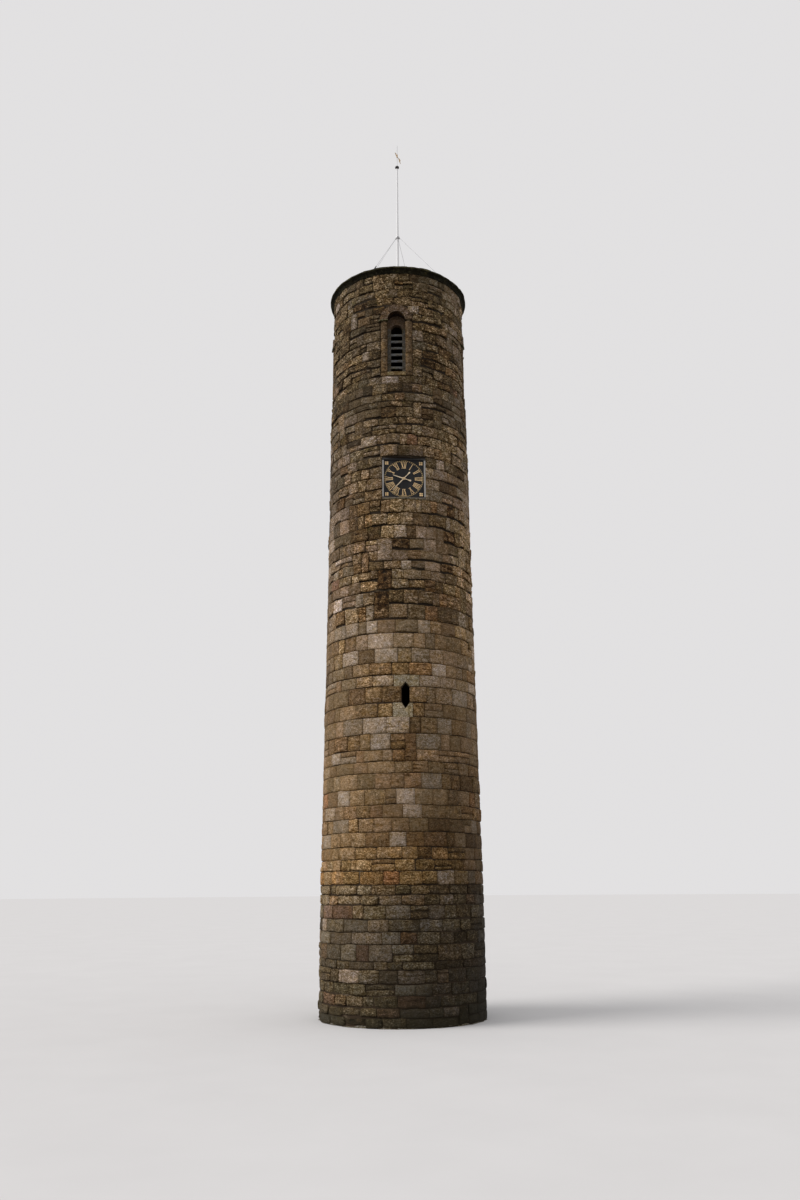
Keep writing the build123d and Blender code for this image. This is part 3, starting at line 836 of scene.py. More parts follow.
@dataclass(frozen=True)
class StoneCoat:
    """Colours of the wall's stones by level, and which places show another sort.

    Marks are pairs of a heading in degrees and a level in metres. A patch adds its half width in degrees, its
    half height in metres and how light the wall is in its middle. By level, the wall is lighter by a share
    towards +X and darker by it towards -X; this is painted light and shade, shade low on the +X side and
    light higher up.
    """

    plain: tuple[tuple[float, Tint], ...] = (
        (0.0, (0.064, 0.051, 0.034)),
        (1.2, (0.086, 0.068, 0.046)),
        (2.4, (0.116, 0.091, 0.062)),
        (3.5, (0.150, 0.114, 0.076)),
        (3.6, (0.232, 0.150, 0.077)),
        (8.0, (0.240, 0.158, 0.086)),
        (9.6, (0.264, 0.180, 0.104)),
        (12.5, (0.300, 0.210, 0.131)),
        (14.0, (0.274, 0.195, 0.124)),
        (16.0, (0.209, 0.152, 0.098)),
        (18.4, (0.163, 0.119, 0.073)),
        (22.4, (0.170, 0.123, 0.073)),
    )
    # Painted light and shade by level: the share by which +X is lighter and -X darker.
    painted_side_light: tuple[tuple[float, tuple[float]], ...] = (
        (0.0, (-0.66,)),
        (3.5, (-0.50,)),
        (6.5, (-0.12,)),
        (9.0, (0.06,)),
        (12.0, (0.22,)),
        (22.4, (0.22,)),
    )
    pale_marks: Marks = (
        (-95.6, 16.88), (-112.1, 16.53), (-90.1, 16.47), (-57.4, 15.75), (-70.3, 10.68), (-143.8, 11.54),
        (-122.5, 11.52), (-124.1, 10.75), (-110.4, 10.68), (-96.9, 7.38), (-122.1, 7.83), (-95.5, 7.82),
        (-56.7, 7.81), (-70.7, 6.29), (-84.1, 5.87), (-84.9, 5.50), (-89.0, 13.58), (-143.8, 5.48),
        (-45.5, 8.91), (-133.7, 9.83), (-91.0, 9.93), (-62.2, 9.05), (-130.9, 12.63), (-37.0, 11.29),
        (-109.5, 10.05), (-39.5, 20.15), (-132.4, 20.85), (-67.5, 9.95), (-72.0, 20.10), (-104.0, 18.54),
    )
    dark_marks: Marks = (
        (-48.1, 11.58), (-48.6, 10.96), (-108.6, 15.49), (-120.8, 14.80), (-130.5, 13.96), (-57.3, 11.88),
        (-50.0, 6.21), (-49.3, 4.99), (-52.0, 11.30), (-115.8, 16.93), (-48.0, 4.40), (-60.0, 4.70),
    )
    # Patches where the wall is made darker or lighter: heading, level, half width, half height and lightness
    # in the middle.
    tone_patches: tuple[tuple[float, float, float, float, float], ...] = (
        (-86.0, 12.0, 17.0, 1.7, 0.72),
        (-150.0, 11.8, 22.0, 2.4, 1.20),
        (-113.0, 20.4, 14.0, 1.7, 0.84),
        (-50.0, 11.2, 12.0, 0.9, 0.78),
        (-90.0, 22.0, 30.0, 0.7, 0.82),
        (-66.0, 4.6, 16.0, 0.9, 0.85),
    )
    red_marks: Marks = (
        (-78.3, 16.55), (-129.9, 2.84), (-117.2, 1.84), (-98.6, 0.37), (-88.0, 0.60), (-80.0, 2.20),
    )
    layered_marks: Marks = (
        (-82.5, 6.98), (-78.5, 6.62), (-74.0, 4.80), (-100.0, 15.75),
    )
    hollow_marks: Marks = (
        (-97.5, 11.11), (-100.4, 12.02), (-48.3, 12.50), (-45.4, 14.43), (-80.9, 13.02), (-124.8, 0.10),
        (-49.3, 13.60), (-120.2, 21.36), (-60.0, 19.30), (128.0, 13.20), (60.0, 7.90), (20.0, 12.60),
    )

    def kind_at(self, left: float, right: float, low: float, high: float, dice: random.Random) -> StoneKind:
        """Sort of a stone that fills a patch of the wall.

        Args:
            left: Heading of its left side in radians.
            right: Heading of its right side.
            low: Level of its foot.
            high: Level of its head.
            dice: Source of chance for stones without a mark.

        Returns:
            The sort.
        """
        chance = dice.random()
        kinds = (StoneKind.PALE, StoneKind.DARK, StoneKind.RED, StoneKind.LAYERED, StoneKind.HOLLOW)
        fields = (self.pale_marks, self.dark_marks, self.red_marks, self.layered_marks, self.hollow_marks)
        for kind, marks in zip(kinds, fields):
            for heading, level in marks:
                turn = (math.radians(heading) - left) % math.tau
                if turn < right - left and low < level < high:
                    return kind
        return next((kind for limit, kind in CHANCES if chance < limit), StoneKind.PLAIN)

    def patch_lightness(self, heading: float, level: float) -> float:
        """How light the patches leave the wall at a heading in radians and a level.

        Args:
            heading: The heading.
            level: The level.

        Returns:
            A factor, 1 away from every stain.
        """
        light = 1.0
        for turn, middle, wide, tall, share in self.tone_patches:
            away = (math.degrees(heading) - turn + 180) % 360 - 180
            light *= 1 + (share - 1) * math.exp(-((away / wide) ** 2) - ((level - middle) / tall) ** 2)
        return light

    def tint_of(
        self, kind: StoneKind, heading: float, level: float, spread: float, dice: random.Random
    ) -> Tint:
        """Colour of one stone.

        Args:
            kind: Its sort.
            heading: Its heading.
            level: Its level.
            spread: How much stones differ in strength, 0 to 1.
            dice: Source of chance.

        Returns:
            A linear colour.
        """
        # Painted light and shade: one side of the wall lighter and the other darker, by level.
        aside = 1 + math.cos(heading) * by_level(self.painted_side_light, level)[0]
        base = [part * aside for part in by_level(self.plain, level)]
        strength = (1 + spread * dice.uniform(-1.0, 0.85)) * self.patch_lightness(heading, level)
        warmth = dice.uniform(-0.03, 0.03)
        cast = dice.choice(STONE_CASTS)
        if kind is StoneKind.PALE:
            base = [base[1] * factor for factor in PALE_FACTORS]
            cast = (1.0, 1.0, 1.0)
            warmth *= 0.5
        elif kind in KIND_FACTORS:
            base = [part * factor for part, factor in zip(base, KIND_FACTORS[kind])]
        return (
            base[0] * cast[0] * strength ** STONE_POWERS[0] * (1 + warmth),
            base[1] * cast[1] * strength,
            base[2] * cast[2] * strength ** STONE_POWERS[1] * (1 - warmth),
        )


@dataclass(frozen=True)
class Trim:
    """How a block's face is worked and worn. Lengths in metres.

    The arris is a sloped rim, ring wide and arris deep, round a face that swings by rough, bulges, leans by
    tilt and falls away by roll at its sides. Wobble bends its outline and corner rubs its corners. Its sides
    keep a share of the tint, which is painted shade of the joints with some grime in it. The face is cut into
    facets, most of them at one side.
    """

    ring: float = 0.010
    arris: float = 0.008
    depth: float = 0.048
    rough: float = 0.006
    wobble: float = 0.003
    corner: float = 0.0015
    bulge: float = 0.003
    roll: float = 0.0
    tilt: float = 0.004
    # Share of the tint that the sides keep: painted shade with some grime.
    shade_and_grime: float = 0.36
    deepest: float = 0.0
    hollow: float = 0.0
    facet: float = 0.062
    most: int = 10

    def facets(self, length: float) -> int:
        """Number of facets along a side of that length."""
        return min(self.most, max(2, round(length / self.facet)))

    def weathered(self, decay: float, swelling: float, hollow: float) -> "Trim":
        """The trim of one stone of the wall, the looser the more it has decayed.

        Args:
            decay: How far it has decayed, 0 to 1.
            swelling: Factor of its bulge.
            hollow: How far its face has caved in, 0 to 1.

        Returns:
            The trim.
        """
        return replace(
            self,
            ring=self.ring * (0.8 + 0.8 * decay),
            arris=self.arris * (0.7 + 0.8 * decay),
            rough=self.rough * (0.5 + 2.2 * decay),
            wobble=self.wobble * (0.6 + 2.6 * decay),
            corner=self.corner * (0.3 + 2.5 * decay),
            bulge=self.bulge * swelling,
            tilt=self.tilt * (0.4 + 2.0 * decay),
            deepest=FACE_LIMIT,
            hollow=hollow,
        )

    def face(self, x: float, y: float, lean: float, lump: float, cave: float) -> tuple[float, float]:
        """Depth and lightness of a point of the face.

        Painted shade darkens its dents and cavities, and it is a little darker towards its edges.

        Args:
            x: Its place across, from -1 to 1.
            y: Its place up, from -1 to 1.
            lean: How far the plain of the face lies back there.
            lump: Noise of the face there.
            cave: Noise of its cavities there.

        Returns:
            How far it lies behind the sheet, and the share of the tint that it keeps.
        """
        swell = (1 - x**2) * (1 - y**2)
        dent = self.rough * lump
        sunk = self.hollow * clamp(swell * 1.2 + cave * 3.2 + lump * 1.2 - 0.30)
        behind = lean + self.roll * x**2 + dent - self.bulge * swell + sunk * CAVITY_DEPTH
        if self.deepest:
            behind = min(behind, self.deepest + 0.3 * dent)
        edge = max(abs(x), abs(y)) ** 6
        return behind, (1.0 - 0.30 * max(0.0, lump) - 0.16 * edge) * (1.0 - 0.86 * sunk)

    def edge_shade_and_grime(self, y: float) -> float:
        """Share of the tint at the foot of the arris, its sides and head: painted shade, with some grime."""
        if y < -0.98:
            return self.shade_and_grime
        return min(1.0, self.shade_and_grime + 0.42) if y > 0.98 else self.shade_and_grime + 0.20


class Ring(Enum):
    """Rings of a block's vertices, by their z in its template."""

    FACE = 0
    ARRIS = -1
    BACK = -2


class BlockWorks:
    """Lays worn blocks into one bmesh, each a closed solid."""

    templates: dict[tuple[int, int], bpy.types.Mesh] = {}

    def __init__(self, seed: int) -> None:
        """Starts an empty works with its own source of chance."""
        self.form = bmesh.new()
        self.tint_layer = self.form.verts.layers.float_color.new("stone_tint")
        self.trait_layer = self.form.verts.layers.float_color.new("stone_trait")
        self.dice = random.Random(seed)
        self.count = 0

    @classmethod
    def template(cls, columns: int, rows: int) -> bpy.types.Mesh:
        """A block over the unit square, for lay to bend into its place.

        The x and y of a vertex are its place across the face, and its z tells its ring.

        Args:
            columns: Facets across.
            rows: Facets up.

        Returns:
            The mesh, kept for the next block of these numbers.
        """
        key = (columns, rows)
        if key not in cls.templates:
            form = bmesh.new()
            bmesh.ops.create_grid(form, x_segments=columns, y_segments=rows, size=0.5)
            bmesh.ops.translate(form, verts=form.verts, vec=(0.5, 0.5, 0.0))
            rim = [edge for edge in form.edges if edge.is_boundary]
            for _ in (Ring.ARRIS, Ring.BACK):
                made = bmesh.ops.extrude_edge_only(form, edges=rim)["geom"]
                lowered = [item for item in made if isinstance(item, bmesh.types.BMVert)]
                bmesh.ops.translate(form, verts=lowered, vec=(0.0, 0.0, -1.0))
                rim = [item for item in made if isinstance(item, bmesh.types.BMEdge) and item.is_boundary]
            bmesh.ops.edgeloop_fill(form, edges=rim)
            bmesh.ops.recalc_face_normals(form, faces=form.faces)
            mesh = bpy.data.meshes.new(f"block_{columns}_{rows}")
            form.to_mesh(mesh)
            form.free()
            cls.templates[key] = mesh
        return cls.templates[key]

    def colour(self, vert: bmesh.types.BMVert, tint: Sequence[float], traits: Tint, seed: float) -> None:
        """Writes a vertex's tint, and its block's traits and seed."""
        vert[self.tint_layer] = (*tint, 1.0)
        vert[self.trait_layer] = (*traits, seed)

    def lay(
        self,
        left: float,
        right: float,
        low: Line,
        high: Line,
        place: Place,
        trim: Trim,
        tint: Tint,
        traits: Tint = (0.1, 0.4, 0.3),
        recess: float = 0.0,
        squeeze: Optional[Squeeze] = None,
    ) -> None:
        """Lays one block.

        Args:
            left: Its left side on its sheet, in metres.
            right: Its right side.
            low: Level of its foot at a place across.
            high: Level of its head at a place across.
            place: Where a point of the sheet stands: across, up, and how far behind the face.
            trim: How it is worked and worn.
            tint: Its colour.
            traits: Strength of its bedding, pits and decay, 0 to 1.
            recess: How far its face has weathered back.
            squeeze: Moves a point of the sheet out of an opening, given also the middle of the block.
        """
        seed = self.dice.random()
        middle = (left + right) / 2
        start = len(self.form.verts)
        shape = self.template(trim.facets(right - left), trim.facets(high(middle) - low(middle)))
        self.form.from_mesh(shape)
        self.form.verts.ensure_lookup_table()
        sway = Vector((seed * 61.0, seed * 17.0, self.count * 3.7))
        lean_across, lean_up = self.dice.uniform(-1.0, 1.0), self.dice.uniform(-1.0, 1.0)
        for vert in self.form.verts[start:]:
            u, v, ring = vert.co.x, vert.co.y, Ring(round(vert.co.z))
            x, y = 2 * u - 1, 2 * v - 1
            inset = trim.ring if ring is Ring.FACE else 0.0
            across = lerp(left + inset, right - inset, u)
            up = lerp(low(across) + inset, high(across) - inset, v)
            rub = (abs(x) * abs(y)) ** 4 * trim.corner * (1 + seed)
            across -= math.copysign(rub, u - 0.5)
            up -= math.copysign(rub, v - 0.5)
            spot = Vector((across * 9.0, up * 9.0, 0.0)) + sway
            across += trim.wobble * noise.noise(spot)
            up += trim.wobble * noise.noise(spot.yzx)
            if squeeze is not None:
                across, up = squeeze(across, up, middle)
            lump = noise.noise(Vector((across * 13.0, up * 19.0, sway.z)))
            lean = recess + trim.tilt * (lean_across * x + lean_up * y)
            # Painted shade dims the tint in dents and cavities of the face, at the arris, most at its foot,
            # and deep in the joint.
            if ring is Ring.FACE:
                cave = noise.noise(Vector((across * 6.0, up * 7.0, sway.z + 4.0)))
                behind, light = trim.face(x, y, lean, lump, cave)
            elif ring is Ring.ARRIS:
                behind = lean + trim.roll + trim.arris * (1.0 + 0.4 * lump)
                light = trim.edge_shade_and_grime(y)
            else:
                behind, light = trim.depth, trim.shade_and_grime * 0.45
            vert.co = place(across, up, behind)
            dimmed = (tint[0] * light ** SHADE_POWERS[0], tint[1] * light, tint[2] * light ** SHADE_POWERS[1])
            self.colour(vert, dimmed, traits, seed)
        self.count += 1

    def mould(
        self,
        section: Sequence[tuple[float, float]],
        steps: int,
        place: Place,
        tint: Tint,
        traits: Tint = (0.1, 0.3, 0.3),
        painted_shades: Sequence[float] = (),
    ) -> None:
        """Lays one moulded stone, a section carried along a path.

        Args:
            section: Corners of the section, in order.
            steps: Parts along the path.
            place: Where a corner stands: its two measures and its share of the path.
            tint: Its colour.
            traits: Strength of its bedding, pits and decay, 0 to 1.
            painted_shades: How light the tint is at each corner, where that differs.
        """
        seed = self.dice.random()
        for vert, corner, share in prism(self.form, len(section), steps):
            vert.co = place(*section[corner], share)
            shade = painted_shades[corner] if painted_shades else 1.0
            self.colour(vert, [part * shade for part in tint], traits, seed)
        self.count += 1


def prism(form: bmesh.types.BMesh, sides: int, steps: int) -> list[tuple[bmesh.types.BMVert, int, float]]:
    """Adds a closed prism to a bmesh, to be bent into a moulding.

    Args:
        form: Where it is added.
        sides: Corners of its section.
        steps: Parts along its length.

    Returns:
        Each vertex with the number of its corner and its share of the length.
    """
    start = len(form.verts)
    made = bmesh.ops.create_cone(form, cap_ends=True, segments=sides, radius1=1, radius2=1, depth=1)["verts"]
    edges = {edge for vert in made for edge in vert.link_edges}
    upright = [edge for edge in edges if abs(edge.verts[0].co.z - edge.verts[1].co.z) > 0.5]
    if steps > 1:
        bmesh.ops.subdivide_edges(form, edges=upright, cuts=steps - 1, use_grid_fill=True)
    form.verts.ensure_lookup_table()
    placed = []
    for vert in form.verts[start:]:
        turn = (math.atan2(vert.co.y, vert.co.x) - math.pi / 2) % math.tau
        placed.append((vert, round(turn * sides / math.tau) % sides, vert.co.z + 0.5))
    return placed


@dataclass(frozen=True)
class Opening:
    """A place in the wall that the stones leave free, seen flat from its own heading."""

    heading: float
    left: float
    right: float
    foot: float
    head: float
    round_head: bool = False
    joint: float = 0.007

    @property
    def centre(self) -> float:
        """Its middle, across."""
        return (self.left + self.right) / 2

    @property
    def half(self) -> float:
        """Half its width, with the joint."""
        return (self.right - self.left) / 2 + self.joint

    def half_at(self, level: float) -> float:
        """Half its width at a level, 0 above and below it.

        Args:
            level: The level.

        Returns:
            The half width.
        """
        if level < self.foot:
            return 0.0
        if level <= self.head:
            return self.half
        rise = level - self.head
        if self.round_head and rise < self.half:
            return math.sqrt(self.half**2 - rise**2)
        return 0.0

    def clear(self, across: float, up: float, home: float) -> tuple[float, float]:
        """Moves a point out of the opening.

        Args:
            across: Place across, seen from the heading.
            up: Level.
            home: Place across of the middle of the point's own stone.

        Returns:
            The place and level, changed only if they were inside.
        """
        side = across - self.centre
        if self.round_head and up > self.head:
            away = math.hypot(side, up - self.head)
            if away < self.half:
                grow = self.half / max(away, 1e-6)
                return self.centre + side * grow, self.head + (up - self.head) * grow
            return across, up
        if abs(side) >= self.half or not self.foot - self.joint < up < self.head + self.joint:
            return across, up
        if abs(home - self.centre) > self.half:
            return self.centre + math.copysign(self.half, home - self.centre), up
        if up < (self.foot + self.head) / 2:
            return across, self.foot - self.joint
        return across, self.head + self.joint


@dataclass(frozen=True)
class Drum:
    """The mortar face of the tower by level, read from the frame."""

    steps: tuple[tuple[float, float, float, float], ...]

    @classmethod
    def read(cls) -> "Drum":
        """Reads the stages from the plain right-hand nodes.

        Returns:
            The drum.
        """
        steps = []
        for stage in ("base", "lower", "upper", "belfry"):
            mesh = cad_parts[f"{stage}_wall_right"].data
            levels = [vert.co.z for vert in mesh.vertices]
            low, high = min(levels), max(levels)
            radii = [max(v.co.x for v in mesh.vertices if abs(v.co.z - end) < 1e-3) for end in (low, high)]
            steps.append((low, high, *radii))
        return cls(tuple(steps))

    def radius(self, level: float) -> float:
        """Radius of the mortar face at a level.

        Args:
            level: The level.

        Returns:
            The radius.
        """
        for low, high, foot, head in self.steps:
            if level < high:
                break
        return lerp(foot, head, clamp((level - low) / (high - low)))


@dataclass(frozen=True)
class Course:
    """One course of the wall, between two beds.

    Its number, the levels of its beds, the radius of its face, and whether no stone of it may run on into
    the next course.
    """

    index: int
    foot: float
    head: float
    radius: float
    closed: bool

    @property
    def middle(self) -> float:
        """Level of its middle."""
        return (self.foot + self.head) / 2

    @property
    def height(self) -> float:
        """Its height."""
        return self.head - self.foot


@dataclass(frozen=True)
class Masonry:
    """Coursed stones of one stretch of the wall.

    Its beds swing by sway, its stones differ by spread and slip, and its joints open by up to gaping, or by
    hollow_gap within hollow_reach of a hollow mark, in radians and metres. Shares of the stones are split, or
    run through two courses if they are further from an opening than keep_off: beside, below and above it.
    """

    name: str
    slot: str
    seed: int
    beds: tuple[float, ...]
    drum: Drum
    openings: tuple[Opening, ...]
    coat: StoneCoat
    finish: Sandstone
    mean_length: float
    sway: float
    decay: float
    gaping: float
    splits: float
    slip: float
    through: float
    spread: float
    trim: Trim
    level_beds: tuple[float, ...] = ()
    hollow_gap: float = 0.055
    hollow_reach: Arc = (0.17, 0.30)
    keep_off: tuple[float, float, float] = (0.9, 0.5, 1.1)
    lengths: Arc = (0.55, 1.5)
    through_widths: Arc = (0.24, 0.46)
    through_apart: float = 0.5
    split_height: float = 0.29
    split_shares: Arc = (0.38, 0.62)
    joint_apart: float = 0.05
    joint_shift: float = 0.06

    def bed(self, index: int) -> Line:
        """The line of one bed joint, as a level by heading.

        Args:
            index: Number of the bed, 0 at the foot.

        Returns:
            A function that gives the level at a heading.
        """
        level = self.beds[index]
        still = index in (0, len(self.beds) - 1) or level in self.level_beds
        swing = 0.0 if still else self.sway

        def line(heading: float) -> float:
            """Level of the bed at a heading."""
            spot = round_spot(heading, 2.4, index * 5.1 + self.seed)
            return level + swing * (noise.noise(spot) + 0.9 * noise.noise(spot * 3.4))

        return line

    def course(self, index: int) -> Course:
        """One course, by the number of the bed below it.

        Args:
            index: That number.

        Returns:
            The course.
        """
        foot, head = self.beds[index], self.beds[index + 1]
        closed = index + 2 >= len(self.beds) or head in self.level_beds
        return Course(index, foot, head, self.drum.radius((foot + head) / 2) + STONE_PROUD, closed)

    def gap(self, heading: float, course: Course) -> float:
        """How far the joint under a course has opened at a heading, in metres.

        Args:
            heading: The heading.
            course: The course.

        Returns:
            The gap.
        """
        spot = round_spot(heading, 4.6, course.index * 3.3 + self.seed * 1.7)
        opened = self.gaping * clamp((noise.noise(spot) - 0.16) * 5.0)
        aside, above = self.hollow_reach
        for mark, level in self.coat.hollow_marks:
            if abs(apart(heading, math.radians(mark))) < aside and abs(course.foot - level) < above:
                opened = max(opened, self.hollow_gap)
        return opened

    def free_arcs(self, course: Course, taken: Sequence[Arc]) -> list[Arc]:
        """Stretches of a course between the openings and the stones that run up into it.

        Args:
            course: The course.
            taken: Arcs of the stones that run up into it.

        Returns:
            The stretches as arcs, none where nothing breaks the course.
        """
        blocked = [(left % math.tau, right - left) for left, right in taken]
        for opening in self.openings:
            half = opening.half_at(course.middle)
            if half > 0.02:
                start = opening.heading + math.asin((opening.centre - half) / course.radius)
                end = opening.heading + math.asin((opening.centre + half) / course.radius)
                blocked.append((start % math.tau, end - start))
        if not blocked:
            return []
        blocked.sort()
        arcs = []
        for (start, width), (following, _) in zip(blocked, blocked[1:] + [(blocked[0][0] + math.tau, 0.0)]):
            if following - start - width > 0.01:
                arcs.append((start + width, following))
        return arcs

    def near_opening(self, left: float, right: float, level: float) -> bool:
        """True where a stretch of the course at a level comes within a stone of an opening."""
        aside, below, above = self.keep_off
        reach, middle = aside / self.drum.radius(level), (left + right) / 2
        return any(
            abs(apart(middle, opening.heading)) < reach
            and opening.foot - below < level < opening.head + above
            for opening in self.openings
        )

    def joints(self, arc: Arc, radius: float, previous: Sequence[float], dice: random.Random) -> list[float]:
        """Headings of the upright joints along an arc, its ends among them.

        Args:
            arc: Headings of its ends.
            radius: Radius of the course's face.
            previous: Joints of the course below, which are kept clear of.
            dice: Source of chance.

        Returns:
            The headings, in order.
        """
        start, end = arc
        count = max(1, round((end - start) * radius / self.mean_length))
        widths = [dice.uniform(*self.lengths) for _ in range(count)]
        total = sum(widths)
        marks = [start]
        for width in widths:
            marks.append(marks[-1] + (end - start) * width / total)
        marks[-1] = end
        for place, mark in enumerate(marks[1:-1], 1):
            offsets = (apart(mark, below) for below in previous)
            near = next((offset for offset in offsets if abs(offset) * radius < self.joint_apart), None)
            if near is not None:
                marks[place] = mark + math.copysign(self.joint_shift / radius, near)
        return marks

    def build(self) -> None:
        """Lays every course from the foot up."""
        works = BlockWorks(self.seed)
        joints: list[float] = []
        through: list[Arc] = []
        for index in range(len(self.beds) - 1):
            joints, through = self.lay_course(works, self.course(index), joints, through)
        add_piece(self.name, works.form, self.finish, self.slot)

    def lay_course(
        self, works: BlockWorks, course: Course, previous: Sequence[float], taken: Sequence[Arc]
    ) -> tuple[list[float], list[Arc]]:
        """Lays one course.

        Args:
            works: Where it is laid.
            course: The course.
            previous: Upright joints of the course below.
            taken: Arcs of the stones that run up into this one.

        Returns:
            Its own upright joints, and the arcs of its stones that run on into the next one.
        """
        dice = works.dice
        low, high = self.bed(course.index), self.bed(course.index + 1)
        start = dice.uniform(0.0, math.tau)
        current: list[float] = []
        through: list[Arc] = []
        for arc in self.free_arcs(course, taken) or [(start, start + math.tau)]:
            marks = self.joints(arc, course.radius, previous, dice)
            current += marks
            for left, right in zip(marks, marks[1:]):
                gap = self.gap((left + right) / 2, course)
                free = marks[0] < left and right < marks[-1] and self.may_run(course, left, right, through)
                if free and dice.random() < self.through:
                    self.stone(works, course, (left, right), low, self.bed(course.index + 2), gap)
                    through.append((left, right))
                elif course.height > self.split_height and dice.random() < self.splits:
                    share = dice.uniform(*self.split_shares)

                    def between(heading: float) -> float:
                        """Level of the joint between the two halves of a split stone."""
                        return lerp(low(heading), high(heading), share)

                    self.stone(works, course, (left, right), low, between, gap)
                    self.stone(works, course, (left, right), between, high, 0.0)
                else:
                    self.stone(works, course, (left, right), low, high, gap)
        return current, through

    def may_run(self, course: Course, left: float, right: float, through: Sequence[Arc]) -> bool:
        """True where a stone between two headings may run on into the next course.

        Args:
            course: Its course.
            left: Heading of its left side.
            right: Heading of its right side.
            through: Arcs of the stones before it that do so.

        Returns:
            The answer.
        """
        narrowest, widest = self.through_widths
        if course.closed or not narrowest < (right - left) * course.radius < widest:
            return False
        if through and (left - through[-1][1]) * course.radius < self.through_apart:
            return False
        return not self.near_opening(left, right, course.middle + course.height)

    def stone(
        self, works: BlockWorks, course: Course, arc: Arc, low: Line, high: Line, gap: float
    ) -> None:
        """Lays one stone of a course.

        Args:
            works: Where it is laid.
            course: Its course.
            arc: Headings of its sides.
            low: Bed below, by heading.
            high: Bed above, by heading.
            gap: How far the joint below has opened.
        """
        dice, radius, (left, right) = works.dice, course.radius, arc
        kind = self.coat.kind_at(left, right, low(left), high(left), dice)
        tint = self.coat.tint_of(kind, (left + right) / 2, course.middle, self.spread, dice)
        weather = noise.noise(round_spot(left, 1.6, course.middle * 0.7))
        decay = clamp(self.decay + weather + dice.uniform(-0.2, 0.25))
        bedding = dice.random() ** 2 * 0.75
        pits = dice.uniform(0.1, 0.9)
        recess = dice.uniform(-0.5, 0.5) * (0.008 + 0.044 * decay)
        if kind is StoneKind.LAYERED:
            bedding = 1.0
        elif kind is StoneKind.PALE:
            decay *= 0.5
            recess = -abs(recess)
        elif kind is StoneKind.HOLLOW:
            recess = 0.006
            decay = 1.0
        joint = 0.0010 + 0.0020 * decay + dice.uniform(0.0, 0.001)
        hollow = 1.0 if kind is StoneKind.HOLLOW else 0.0
        trim = self.trim.weathered(decay, dice.uniform(0.4, 1.6), hollow)
        drop = 0.002 + gap
        foot_slips = (dice.uniform(0.0, self.slip), dice.uniform(0.0, self.slip))
        head_slips = (dice.uniform(0.0, self.slip), dice.uniform(0.0, self.slip))

        def place(across: float, up: float, behind: float) -> Vector:
            """Point of the wall at an arc length, a level and a depth."""
            spot = outward(across / radius) * (self.drum.radius(up) + STONE_PROUD - behind)
            return at_level(spot, up)

        def squeeze(across: float, up: float, home: float) -> tuple[float, float]:
            """Moves a point of the wall out of every opening."""
            for opening in self.openings:
                turn = apart(across / radius, opening.heading)
                if abs(turn) < 0.6:
                    own = apart(home / radius, opening.heading)
                    flat, up = opening.clear(radius * math.sin(turn), up, radius * math.sin(own))
                    across += radius * (math.asin(clamp(flat / radius, -1.0)) - turn)
            return across, up

        def share(across: float) -> float:
            """Share of the way across the stone."""
            return (across / radius - left) / (right - left)

        works.lay(
            left * radius + joint,
            right * radius - joint,
            lambda across: low(across / radius) + joint + drop + lerp(*foot_slips, share(across)),
            lambda across: high(across / radius) - joint - lerp(*head_slips, share(across)),
            place,
            trim,
            tint,
            (bedding, pits, decay),
            recess,
            squeeze,
        )


